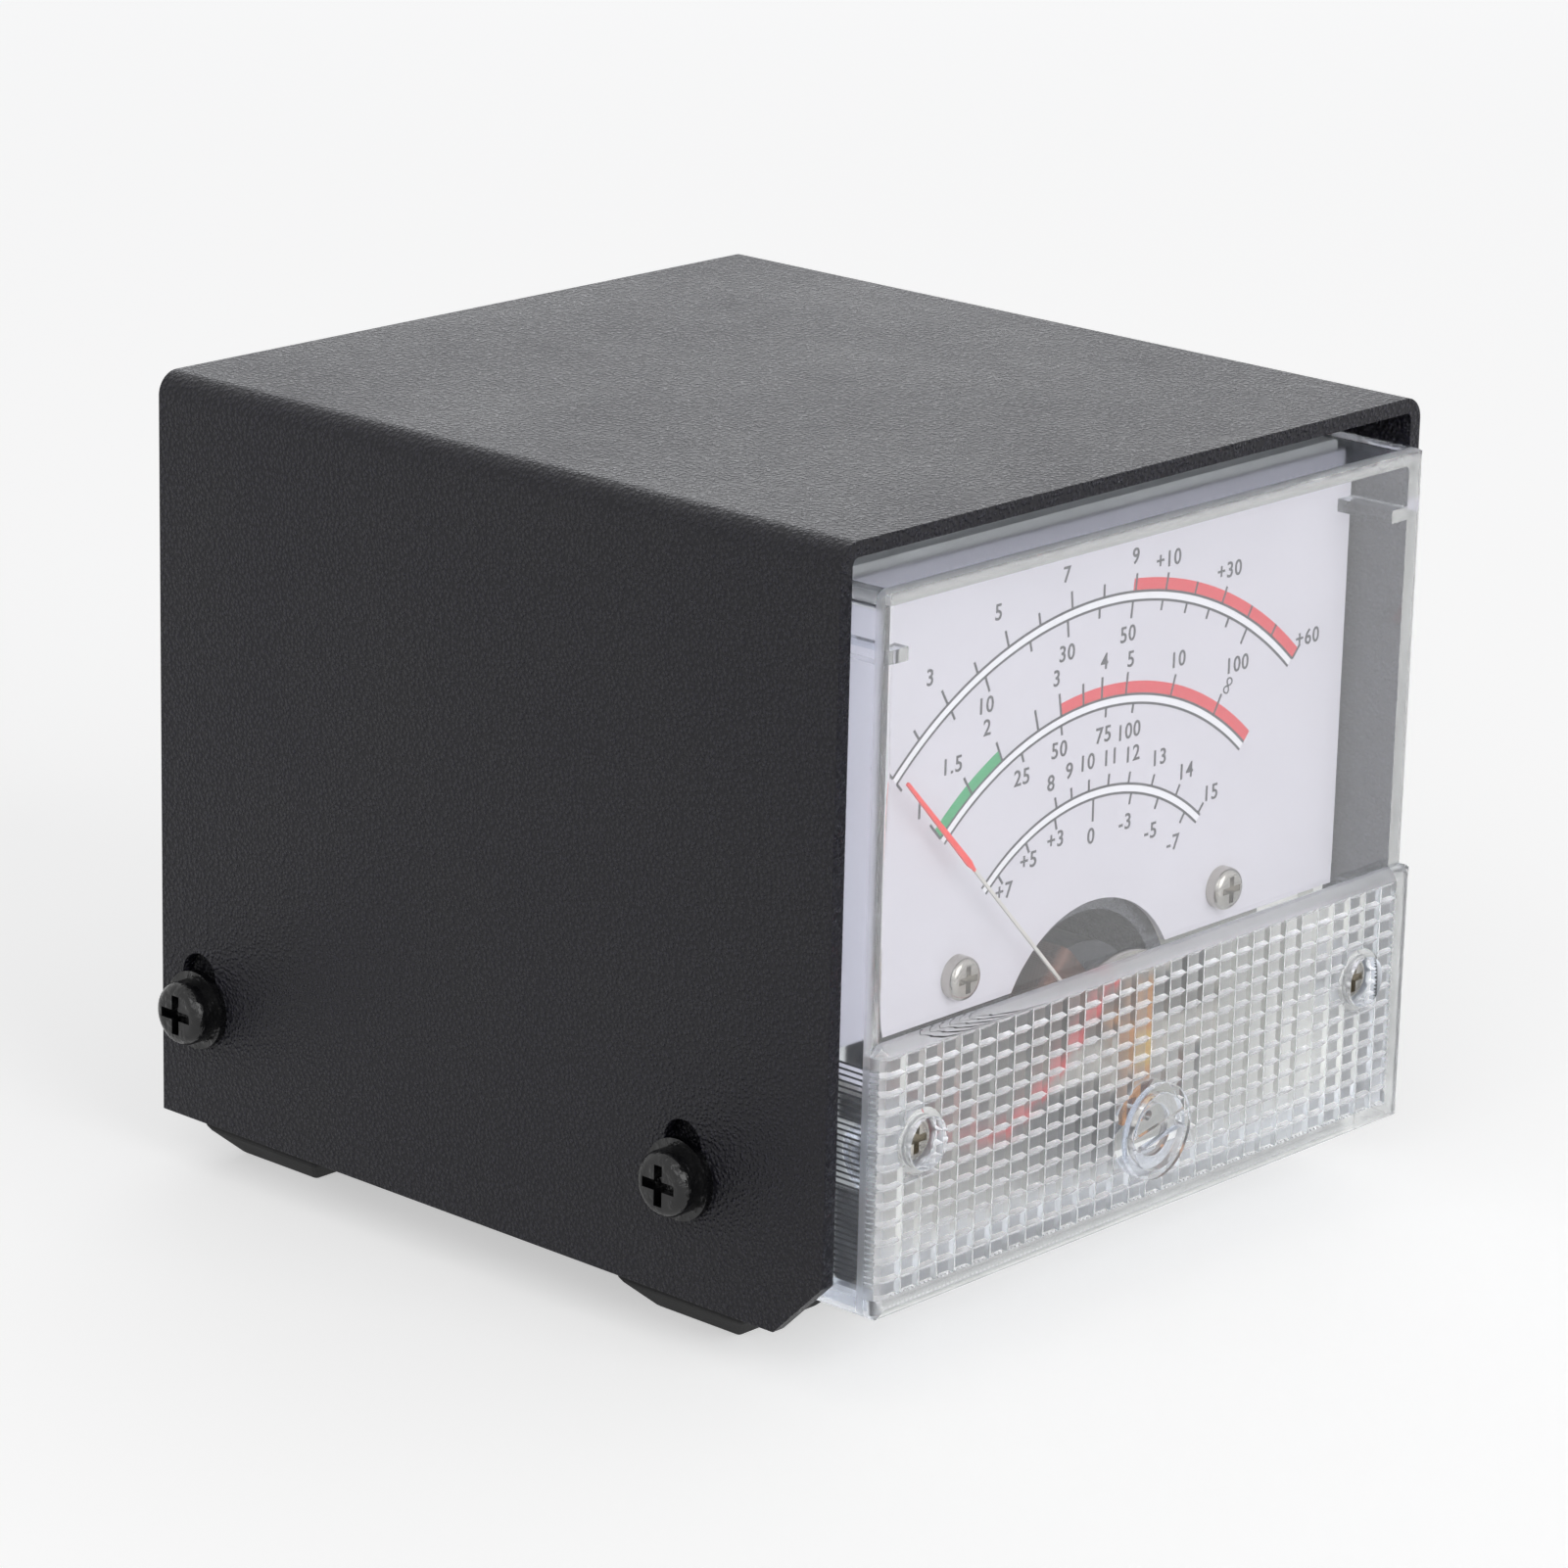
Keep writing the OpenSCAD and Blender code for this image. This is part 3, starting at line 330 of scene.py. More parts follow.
feed(ridges, end["Height"], round_top)
print("group:", ridges.name)


# %% [markdown]
# ## One way to start every finish
#
# Each finish below is one Principled shader, fed by the groups. Values that are the same
# all over a surface are set on the shader's own sockets. The helper makes the material, the
# shader, and the place of each point on the object in metres.

# %% Start a finish, and put it on parts
def start_finish(name, **sockets):
    """A new material with its shader's sockets set. Returns (material, tree, shader, place),
    where place is the point's Object coordinates in metres."""
    material = bpy.data.materials.new(name)
    material.use_nodes = True
    tree = material.node_tree
    shader = tree.nodes["Principled BSDF"]
    for key, value in sockets.items():
        shader.inputs[key.replace("_", " ")].default_value = value
    place = tree.nodes.new("ShaderNodeTexCoord").outputs["Object"]
    return material, tree, shader, place


def add_uneven(tree, shader, place, colour, spread, rough, gloss, patch):
    """Feeds colour and roughness with a slow change over patches of that size in metres."""
    made = use(tree, uneven, Place=place, Colour=colour, Spread=spread, Roughness=rough,
               Gloss_spread=gloss, Patch=patch)
    feed(tree, shader.inputs["Base Color"], made["Colour"])
    feed(tree, shader.inputs["Roughness"], made["Roughness"])
    return made


def add_bump(tree, shader, height, depth, strength=1.0):
    """Bends the shader's normal by a height of 0 to 1 that stands for depth metres."""
    bump = node(tree, "Bump", Height=height, Distance=depth, Strength=strength)
    feed(tree, shader.inputs["Normal"], bump.outputs["Normal"])


def dress(material, *names):
    """Gives the named parts of the frame this finish."""
    for name in names:
        for material_slot in nodes[name].material_slots:
            material_slot.material = material
    print(material.name, "on", ", ".join(names))


# %% [markdown]
# ## Powder coat on the cover and the chassis
#
# The cover is one sheet folded over the case, and the chassis is the tray inside it. Both
# wear the same textured black coat. Seen from low down the top looks grey, because the
# rough coat sends back the light room at a glancing angle, while the side stays dark.

# %% The textured black coat
def coat_finish(name, tone):
    """Black coat: near-black colour, beads 0.3 mm across with glossier tops. The colour is
    multiplied by 0.6 + 1.1 h, a painted highlight on each crown and painted shade in the
    valleys, and the roughness falls by 0.16 h, with h the bead's height."""
    material, tree, shader, place = start_finish(name, Specular_IOR_Level=0.3)
    made = add_uneven(tree, shader, place, tone, 0.16, 0.42, 0.06, 14 * MM)
    beads = use(tree, grain, Place=place, Size=0.33 * MM, Mix=0.35)["Height"]
    # Painted light: the colour is lighter on the bead crowns as a painted highlight and darker
    # in the valleys as painted shade.
    bead_painted_light = sum_of(tree, "MULTIPLY_ADD", beads, 1.1, 0.6)
    glossier = sum_of(tree, "MULTIPLY_ADD", beads, -0.16, made["Roughness"])
    feed(tree, shader.inputs["Base Color"], scaled(tree, made["Colour"], bead_painted_light))
    feed(tree, shader.inputs["Roughness"], glossier)
    add_bump(tree, shader, beads, 0.16 * MM)
    return material


cover_coat = coat_finish("cover_coat", linear(22, 21, 31))
chassis_coat = coat_finish("chassis_coat", linear(20, 20, 26))
dress(cover_coat, "top_cover")
dress(chassis_coat, "chassis")

# %% [markdown]
# ## Folded edges
#
# A folded sheet has no sharp edges, and the coat rounds them further. The Weld modifier
# joins the loose triangles of the frame's mesh, and Decimate joins the triangles of each
# flat face into one. The Bevel modifier then rounds each edge that turns by more than its
# angle. The rubber feet and the bright bridge over the coil are rounded in the same way. The
# meshes themselves are left as they are.

# %% Round the edges of the sheets, the feet and the bridge
def join_triangles(part):
    """Joins corners of loose triangles that lie within two thousandths of a millimetre."""
    weld = part.modifiers.new("join_triangles", "WELD")
    weld.merge_threshold = 0.002 * MM


def soften(part, width):
    """Rounds every edge that turns by more than 40 degrees to a radius near width."""
    join_triangles(part)
    flatten = part.modifiers.new("join_flat_faces", "DECIMATE")
    flatten.decimate_type = "DISSOLVE"
    flatten.angle_limit = math.radians(0.5)
    bevel = part.modifiers.new("round_edges", "BEVEL")
    bevel.width = width
    bevel.segments = 2
    bevel.limit_method = "ANGLE"
    bevel.angle_limit = math.radians(40)
    bevel.miter_outer = "MITER_ARC"
    level = part.modifiers.new("level_faces", "WEIGHTED_NORMAL")
    level.weight = 100
    level.keep_sharp = True


edges = {"top_cover": 0.22, "chassis": 0.2, "feet": 0.35, "front_bridge": 0.12}
for part_name, edge in edges.items():
    soften(nodes[part_name], edge * MM)
print("rounded:", [n for n in nodes if nodes[n].modifiers])

# %% [markdown]
# ## Feet and case screws
#
# The feet are square pads of black rubber. The side screws are steel with a shiny black
# plating, which catches small hard highlights, over flat washers of the same kind.

# %% Rubber feet and black-plated screws
rubber, tree, shader, place = start_finish("foot_rubber", Specular_IOR_Level=0.3)
add_uneven(tree, shader, place, linear(30, 30, 31), 0.2, 0.72, 0.08, 5 * MM)
pores = use(tree, grain, Place=place, Size=0.25 * MM, Mix=0.6)["Height"]
add_bump(tree, shader, pores, 0.02 * MM, 0.6)
dress(rubber, "feet")

black_plate, tree, shader, place = start_finish("black_plating")
add_uneven(tree, shader, place, linear(9, 9, 11), 0.2, 0.16, 0.12, 3 * MM)
dents = use(tree, grain, Place=place, Size=1.1 * MM, Mix=0.5)["Height"]
add_bump(tree, shader, dents, 0.08 * MM, 0.8)
dress(black_plate, "cover_screws", "cover_washers")

# %% [markdown]
# ## Clear acrylic
#
# The front and the zero screw are clear acrylic, and the front has a grid of small prisms
# before the movement. The finish is a Principled shader that lets nearly all light through,
# with the plastic's own bend of light, 1.49. Moulded acrylic is never quite clear: its skin
# has a faint haze, and a small share of plain diffuse white stands for it.
#
# The prisms are duller than the window, as a mould with a hundred small corners leaves them,
# so a mask in a thin layer at their depth makes them rougher. Edges that look aside or up
# are a little rougher and cooler than the faces that look forward, because the eye sees more
# of the plastic there.
#
# Light that must bend through two skins and a block of prisms reaches the dial only by
# luck, so a lamp's light is let straight through: the Alpha drops to 0 for shadow rays
# alone, which the eye never sees.

# %% Clear acrylic that lets the lamps through
lens_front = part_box("meter_lens")[0].y
PRISM_DEPTH = 2.0 * MM
PRISM_LAYER = 0.32 * MM
PRISM_ROUGHER = 0.42
EDGE_ON, FACE_ON = 0.1, 0.6


def clear_finish(name, tint, edge_tint, rough, edge_rough, clear):
    """Acrylic: IOR 1.49, and Alpha 0 for rays that ask for shadow. clear is the share of
    light that passes, and the rest is a faint milky haze on the skin. A face looks forward
    by the size of its normal's y: from FACE_ON up it has the tint and roughness of a face,
    and up to EDGE_ON those of a moulded edge."""
    material, tree, shader, place = start_finish(
        name, Transmission_Weight=clear, IOR=1.49, Roughness=rough
    )
    facing = tree.nodes.new("ShaderNodeTexCoord").outputs["Normal"]
    frontal = node(tree, "SeparateXYZ", Vector=facing).outputs["Y"]
    flat = node(tree, "MapRange", Value=sum_of(tree, "ABSOLUTE", frontal))
    flat.inputs["From Min"].default_value = EDGE_ON
    flat.inputs["From Max"].default_value = FACE_ON
    forward = flat.outputs["Result"]
    polish = sum_of(tree, "MULTIPLY_ADD", forward, rough - edge_rough, edge_rough)
    depth = node(tree, "SeparateXYZ", Vector=place).outputs["Y"]
    behind = sum_of(tree, "SUBTRACT", depth, lens_front + PRISM_DEPTH)
    at_prisms = sum_of(tree, "LESS_THAN", sum_of(tree, "ABSOLUTE", behind), PRISM_LAYER)
    milky = sum_of(tree, "MULTIPLY_ADD", at_prisms, PRISM_ROUGHER, polish)
    tints = mix_colour(tree, forward, edge_tint, tint)
    add_uneven(tree, shader, place, tints, 0.01, milky, 0.02, 20 * MM)
    shadow_ray = tree.nodes.new("ShaderNodeLightPath").outputs["Is Shadow Ray"]
    feed(tree, shader.inputs["Alpha"], sum_of(tree, "SUBTRACT", 1.0, shadow_ray))
    mould = node(tree, "TexNoise", Vector=place, Scale=160.0, Detail=1.0).outputs["Fac"]
    add_bump(tree, shader, mould, 0.02 * MM, 0.25)
    return material


acrylic = clear_finish("clear_front", linear(251, 252, 254), linear(241, 245, 252),
                       0.015, 0.08, 0.965)
dress(acrylic, "meter_lens", "zero_adjuster")

# %% [markdown]
# ## Air between the acrylic and what it touches
#
# Where a part's face lies exactly on the acrylic, light can't tell which of the two it meets
# first, and dark patches show. On the real joint there is a film of air. A Displace modifier
# draws the part in by a fiftieth of a millimetre, which nobody can see, and gives that film.

# %% Draw the housing and the front's screws in by a hair
def stand_off(part, gap):
    """Moves every corner of a part inwards by gap metres along its normal."""
    join_triangles(part)
    draw_in = part.modifiers.new("stand_off", "DISPLACE")
    draw_in.mid_level = 0.0
    draw_in.strength = -gap


for part_name in ("meter_base", "lens_screws"):
    stand_off(nodes[part_name], 0.02 * MM)
print("drawn in:", [n for n in nodes if "stand_off" in nodes[n].modifiers])

# %% [markdown]
# ## Pale moulded housing
#
# Behind the prisms is a pale plastic tray, which is what makes the lower half of the front
# look milky. It has a fine spark-eroded texture, left by its mould, and a slightly warm
# white. The frame that carries the movement is seen through the same prisms, and is as pale.

# %% The moulded plastics
def moulded_finish(name, tone, rough, texture):
    """Injection-moulded plastic: an even colour and a faint eroded texture, whose grain is
    texture metres across."""
    material, tree, shader, place = start_finish(name, Specular_IOR_Level=0.45)
    add_uneven(tree, shader, place, tone, 0.05, rough, 0.06, 10 * MM)
    eroded = use(tree, grain, Place=place, Size=texture, Mix=0.5)["Height"]
    add_bump(tree, shader, eroded, 0.012 * MM, 0.5)
    return material


pale = moulded_finish("pale_housing", linear(243, 243, 238), 0.42, 0.3 * MM)
black_moulding = moulded_finish("black_moulding", linear(38, 38, 40), 0.38, 0.25 * MM)
trimmer_blue = moulded_finish("trimmer_blue", linear(32, 74, 150), 0.34, 0.2 * MM)
trimmer_white = moulded_finish("trimmer_white", linear(232, 226, 205), 0.4, 0.2 * MM)
dress(pale, "meter_base", "movement_frame")
dress(black_moulding, "jack_socket")
dress(trimmer_blue, "trimmer_body")
dress(trimmer_white, "trimmer_rotor")

# %% [markdown]
# ## Plated and turned metal
#
# Screws and brackets are nickel plated, studs and nuts are brass or steel, and the iron ring
# of the movement has a dark plating. Each is a metal with its own colour, fine scratches in
# all directions, and a slow tarnish. On threaded studs the ridges run round the shank.

# %% Metals
def metal_finish(name, tone, rough, pitch=0.0, spread=0.08, metal=1.0):
    """Metal: colour and roughness change slowly, and a fine grain scratches it. Where pitch
    isn't 0, ridges of that many metres cross the part's depth, as a thread does."""
    material, tree, shader, place = start_finish(name, Metallic=metal)
    add_uneven(tree, shader, place, tone, spread, rough, 0.18, 3 * MM)
    fine_marks = use(tree, grain, Place=place, Size=0.12 * MM, Mix=0.6)["Height"]
    if pitch:
        aim = node(tree, "Mapping", Vector=place, Rotation=(math.pi / 2, 0, 0))
        thread = use(tree, ridges, Place=aim.outputs["Vector"], Pitch=pitch)["Height"]
        both = sum_of(tree, "MULTIPLY_ADD", fine_marks, 0.05, thread)
        add_bump(tree, shader, both, pitch * 0.4, 0.9)
    else:
        add_bump(tree, shader, fine_marks, 0.004 * MM, 0.6)
    return material


THREAD = 0.5 * MM
nickel = metal_finish("bright_nickel", linear(190, 186, 178), 0.14)
steel = metal_finish("zinc_steel", linear(178, 180, 184), 0.3)
threaded_steel = metal_finish("threaded_steel", linear(172, 174, 178), 0.3, pitch=THREAD)
brass = metal_finish("turned_brass", linear(214, 178, 98), 0.24)
threaded_brass = metal_finish("threaded_brass", linear(206, 168, 92), 0.26, pitch=THREAD)
bronze = metal_finish("spring_bronze", linear(196, 138, 84), 0.28)
iron = metal_finish("plated_iron", linear(96, 97, 102), 0.26, spread=0.1, metal=0.75)
magnet = metal_finish("cast_magnet", linear(72, 73, 78), 0.36, spread=0.12)
dress(nickel, "lens_screws", "dial_screws", "frame_screws", "core_bracket", "front_bridge",
      "balance_arms", "solder_lugs", "jack_nut", "pillar_screws")
dress(steel, "mounting_nuts", "pivot_staffs")
dress(threaded_steel, "mounting_studs")
dress(brass, "jewel_screws", "terminal_nuts", "board_pillars")
dress(threaded_brass, "terminal_studs")
dress(bronze, "rear_hairspring", "front_hairspring", "zero_lever")
dress(iron, "yoke_ring")
dress(magnet, "core_magnet")

# %% [markdown]
# ## The coil, its wires and the board
#
# The coil is enamelled copper wire, wound in layers round a light former. At rest it is
# turned with the pointer, so its stripes are turned by the same angle: the Mapping node
# moves the pivot to the middle of the pattern and turns it. The leads have a smooth plastic
# cover with the twist of the strands just showing.

# %% Copper winding, wire covers and the circuit board
copper, tree, shader, place = start_finish("wound_copper", Metallic=0.85, Coat_Weight=0.35)
add_uneven(tree, shader, place, linear(108, 68, 52), 0.12, 0.3, 0.1, 2 * MM)
centred = node(tree, "VectorMath", {"operation": "SUBTRACT"})
feed(tree, centred.inputs[0], place)
centred.inputs[1].default_value = pivot
aim = node(tree, "Mapping", Vector=centred.outputs[0], Rotation=(0, -rest_turn, 0))
across = node(tree, "SeparateXYZ", Vector=aim.outputs["Vector"])
turned = node(tree, "CombineXYZ", Z=across.outputs["X"])
turns = use(tree, ridges, Place=turned.outputs[0], Pitch=0.16 * MM)["Height"]
add_bump(tree, shader, turns, 0.05 * MM, 0.8)
dress(copper, "moving_coil")


def wire_finish(name, tone):
    """Wire cover: smooth plastic with a slow change of gloss and a faint twist."""
    material, tree, shader, place = start_finish(name, Specular_IOR_Level=0.5)
    add_uneven(tree, shader, place, tone, 0.08, 0.32, 0.08, 4 * MM)
    tilt = node(tree, "Mapping", Vector=place, Rotation=(0.5, 0.3, 0)).outputs["Vector"]
    twist = use(tree, ridges, Place=tilt, Pitch=0.9 * MM, Wander=0.3)["Height"]
    add_bump(tree, shader, twist, 0.015 * MM, 0.4)
    return material


red_wire = wire_finish("red_wire", linear(196, 26, 40))
black_wire = wire_finish("black_wire", linear(26, 26, 28))
dress(red_wire, "coil_lead", "lead_red")
dress(black_wire, "lead_black")

board, tree, shader, place = start_finish("solder_mask", Specular_IOR_Level=0.5)
tracks = node(tree, "TexBrick", {"offset": 0.37, "squash": 0.6},
              Vector=place, Scale=420.0, Color1=linear(24, 92, 52),
              Color2=linear(20, 84, 48), Mortar=linear(58, 138, 78))
tracks.inputs["Mortar Size"].default_value = 0.06
add_uneven(tree, shader, place, tracks.outputs["Color"], 0.06, 0.28, 0.08, 6 * MM)
add_bump(tree, shader, tracks.outputs["Fac"], 0.03 * MM, 0.5)
dress(board, "circuit_board")

# %% [markdown]
# ## Resistors
#
# The bodies carry rings of colour that state their value, so the rings are painted along
# the body's length. A ring is a mask: one where the distance along the body is within half
# a ring's width of its middle. The bare wire ends are masked out as metal.

# %% Banded resistors
resistor_low, resistor_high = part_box("resistors")
banded, tree, shader, place = start_finish("banded_resistor", Roughness=0.35)
depth = node(tree, "SeparateXYZ", Vector=place).outputs["Y"]
middle = (resistor_low.y + resistor_high.y) / 2
HALF_RING = 0.24 * MM
HALF_BODY = 3.05 * MM
colour = linear(206, 178, 132)
for shift_mm, ring in ((-1.9, (120, 66, 30)), (-0.9, (30, 30, 32)), (0.1, (190, 40, 36)),
                       (1.9, (196, 156, 60))):
    away = sum_of(tree, "ABSOLUTE", sum_of(tree, "SUBTRACT", depth, middle + shift_mm * MM))
    on_ring = sum_of(tree, "LESS_THAN", away, HALF_RING)
    colour = mix_colour(tree, on_ring, colour, linear(*ring))
from_middle = sum_of(tree, "ABSOLUTE", sum_of(tree, "SUBTRACT", depth, middle))
bare = sum_of(tree, "GREATER_THAN", from_middle, HALF_BODY)
body_or_wire = mix_colour(tree, bare, colour, linear(190, 190, 194))
feed(tree, shader.inputs["Base Color"], body_or_wire)
feed(tree, shader.inputs["Metallic"], bare)
dress(banded, "resistors")

# %% [markdown]
# ## The pointer
#
# The pointer is a flattened aluminium tube with a red spear at its end. The paint starts at
# a fixed distance from the pivot, so the mask measures that distance, the root of side
# squared plus rise squared.

# %% Red spear on a silver shaft
PAINT_FROM = 0.67 * reach
needle, tree, shader, place = start_finish("pointer_paint")
split = node(tree, "SeparateXYZ", Vector=place)
side = sum_of(tree, "SUBTRACT", split.outputs["X"], pivot.x)
rise = sum_of(tree, "SUBTRACT", split.outputs["Z"], pivot.z)
squares = sum_of(tree, "ADD", sum_of(tree, "POWER", side, 2.0),
                 sum_of(tree, "POWER", rise, 2.0))
radius = sum_of(tree, "SQRT", squares)
painted = sum_of(tree, "GREATER_THAN", radius, PAINT_FROM)
paint = add_uneven(tree, shader, place, linear(242, 62, 58), 0.05, 0.38, 0.1, 2 * MM)
coats = mix_colour(tree, painted, linear(206, 202, 196), paint["Colour"])
feed(tree, shader.inputs["Base Color"], coats)
dress(needle, "pointer")

# %% [markdown]
# ## The dial
#
# The dial is thin aluminium with a matt, very slightly grey enamel, and its scales are
# printed on it in grey, red and green. Its print has a soft edge on the real dial because
# the ink is thin, so the ink is a matt finish with hardly any gloss.

# %% Enamel and inks
def matt_finish(name, tone, spread=0.02, rough=0.55):
    """Matt enamel or ink: colour, a breath of unevenness and a fine tooth."""
    material, tree, shader, place = start_finish(name, Specular_IOR_Level=0.35)
    add_uneven(tree, shader, place, tone, spread, rough, 0.05, 8 * MM)
    tooth = use(tree, grain, Place=place, Size=0.1 * MM, Mix=0.6)["Height"]
    add_bump(tree, shader, tooth, 0.004 * MM, 0.4)
    return material


enamel = matt_finish("dial_enamel", linear(211, 208, 215), rough=0.5)
white_ink = matt_finish("white_ink", linear(238, 237, 240), 0.01)
grey_ink = matt_finish("grey_ink", linear(84, 84, 88), 0.04)
red_ink = matt_finish("red_ink", linear(222, 74, 82), 0.03)
green_ink = matt_finish("green_ink", linear(62, 164, 108), 0.03)
dress(enamel, "dial_plate")

# %% [markdown]
# ## The lip under the dial
#
# The dial's sheet runs on a little behind the block of prisms, so that no gap shows over the
# block. The solid stops short of that, so a strip of the same sheet is added on each side of
# the cut-out. It is a stack of level sections, and the inner end of each lies on the circle
# of the cut-out. It is a hair thinner than the sheet, and its top is hidden inside it.

# %% A strip of sheet on each side of the cut-out
CUT_OUT = 10.3 * MM
HAIR = 0.02 * MM
HIDDEN = 0.35 * MM
LEVELS = 9


def lip(side, drop):
    """A strip on one side, drop metres deep. At height h over the pivot it runs from
    x = sqrt(r squared - h squared), with r the cut-out's radius, to the sheet's end."""
    height = np.linspace(dial_low.z - drop, dial_low.z + HIDDEN, LEVELS)
    cut = np.sqrt(CUT_OUT ** 2 - (height - pivot.z) ** 2)
    end = np.full_like(height, dial_high.x - HAIR)
    run = side * np.stack([cut, end, end, cut], axis=1)
    front, back = dial_low.y + HAIR, dial_high.y - HAIR
    depth = np.array([front, front, back, back])
    return skin(np.stack(np.broadcast_arrays(run, depth, height[:, None]), axis=-1))


add_piece("dial_lip", [lip(side, 1.5 * MM) for side in (-1, 1)], enamel)

# %% [markdown]
# ## Arcs and ticks
#
# Each scale is a pair of thin arcs about the pivot, with ticks standing out from the outer
# one and hanging in from the inner one. Red and green bands lie on the outer arc. The
# angles are measured from upright, with the right-hand side positive, and a radius is
# given in millimetres from the pivot.

# %% Bands and ticks as thin solids
LINE = 0.19
TICK = 0.2
INK_FRONT = 0.03 * MM
BAND_FRONT = 0.02 * MM
STEPS_PER_DEGREE = 1.2


def arc_band(near, far, from_deg, to_deg, front):
    """A band of ink from radius near to far, in mm, between two angles. The section's
    corners are (radius, depth) pairs, and a point is x = pivot + r sin a, z = pivot + r
    cos a."""
    steps = int((to_deg - from_deg) * STEPS_PER_DEGREE)
    angle = np.radians(np.linspace(from_deg, to_deg, steps))[:, None]
    radius = np.array([near, far, far, near]) * MM
    depth = np.array([INK_BACK, INK_BACK, face_y - front, face_y - front])
    x = pivot.x + radius * np.sin(angle)
    z = pivot.z + radius * np.cos(angle)
    return skin(np.stack([x, np.broadcast_to(depth, x.shape), z], axis=-1))


def tick(near, far, at_deg):
    """A straight mark along the radius at one angle: a section at each side of it, set off
    across the radius by half of TICK."""
    angle = math.radians(at_deg)
    out = np.array([math.sin(angle), 0.0, math.cos(angle)])
    across = np.array([math.cos(angle), 0.0, -math.sin(angle)])
    radius = np.array([near, far, far, near])[:, None] * MM * out
    depth = np.array([INK_BACK, INK_BACK, face_y - INK_FRONT, face_y - INK_FRONT])
    depth = depth[:, None] * np.array([0.0, 1.0, 0.0])
    base = np.array([pivot.x, 0.0, pivot.z]) + radius + depth
    return skin(np.stack([base + across * s * TICK / 2 * MM for s in (-1, 1)]))


print("ink stands out by", INK_FRONT / MM, "mm")

# %% [markdown]
# ## The plan of the scales
#
# The three scales follow one plan, so they are written as data: the two arcs' radii, the
# angles where they end, the outer and inner ticks as (angle, length), and the bands as
# (start, end, near, far).

# %% The three scales as numbers
scales = {
    "upper": {
        "arcs": (33.42, 32.73), "ends": (-43.0, 43.0),
        "outer": [(-43.0 + 6.15 * n, 1.35 if n in (0, 2, 4, 6, 8, 9, 11, 14) else 1.0)
                  for n in range(15)],
        "inner": [(-43.0, 0.8), (-30.6, 0.8), (-23.5, 1.3), (-14.5, 0.8), (-7.1, 1.3),
                  (-0.8, 0.8), (5.9, 1.3), (12.1, 0.8), (17.3, 0.8), (22.3, 0.8),
                  (27.0, 0.8), (31.5, 1.3)],
        "red": (5.8, 43.0, 33.42, 34.4),
    },
    "middle": {
        "arcs": (25.68, 24.99), "ends": (-42.7, 42.4),
        "outer": [(-42.7, 1.7), (-33.3, 1.7), (-25.0, 1.7), (-15.6, 1.7), (-9.8, 1.8),
                  (-4.2, 1.7), (0.4, 1.7), (6.6, 1.7), (18.7, 1.7), (31.7, 1.7)],
        "inner": [(-20.4, 0.75), (-10.0, 0.75), (1.7, 0.75), (9.0, 0.75)],
        "red": (-9.8, 42.4, 25.68, 26.66),
        "green": (-42.7, -25.0, 25.68, 26.66),
    },
    "lower": {
        "arcs": (18.91, 18.23), "ends": (-42.0, 41.0),
        "outer": [(a, 0.9) for a in (-13.8, -8.5, -2.6, 4.1, 11.3, 19.9, 29.8, 40.1)],
        "inner": [(-36.6, 0.9), (-25.5, 0.9), (-14.8, 0.9), (-1.0, 1.75), (13.0, 0.9),
                  (23.6, 0.9), (35.3, 0.9)],
    },
}
print("ticks:", sum(len(s["outer"]) + len(s["inner"]) for s in scales.values()))

# %% [markdown]
# ## One piece for each ink
#
# A real dial is printed once for each ink, so all marks of one colour become one piece. The
# white between the two arcs is a band of its own, because the enamel is a little grey.

# %% Make the grey lines, the white gaps and the coloured bands
lines, gaps, reds, greens = [], [], [], []
for plan in scales.values():
    outer, inner = plan["arcs"]
    start_deg, end_deg = plan["ends"]
    for radius in (outer, inner):
        lines.append(arc_band(radius - LINE / 2, radius + LINE / 2, start_deg, end_deg,
                              INK_FRONT))
    gaps.append(arc_band(inner, outer, start_deg, end_deg, BAND_FRONT / 2))
    lines += [tick(outer, outer + length, at) for at, length in plan["outer"]]
    lines += [tick(inner - length, inner, at) for at, length in plan["inner"]]
    if "red" in plan:
        a, b, near, far = plan["red"]
        reds.append(arc_band(near, far, a, b, BAND_FRONT))
    if "green" in plan:
        a, b, near, far = plan["green"]
        greens.append(arc_band(near, far, a, b, BAND_FRONT))

add_piece("dial_lines", lines, grey_ink)
add_piece("dial_gaps", gaps, white_ink)
add_piece("dial_red_bands", reds, red_ink)
add_piece("dial_green_band", greens, green_ink)

# %% [markdown]
# ## Numbers
#
# The numbers are plain upright figures, each centred at its own angle and radius. Blender's
# text gives the outlines and a thickness. Each word is made a mesh, its two axes are turned
# to stand on the dial, and all of them are put into one piece, so no text object is left.
# Text comes with its faces unjoined, so the doubled corners are merged, and then every face
# is turned to look outwards.

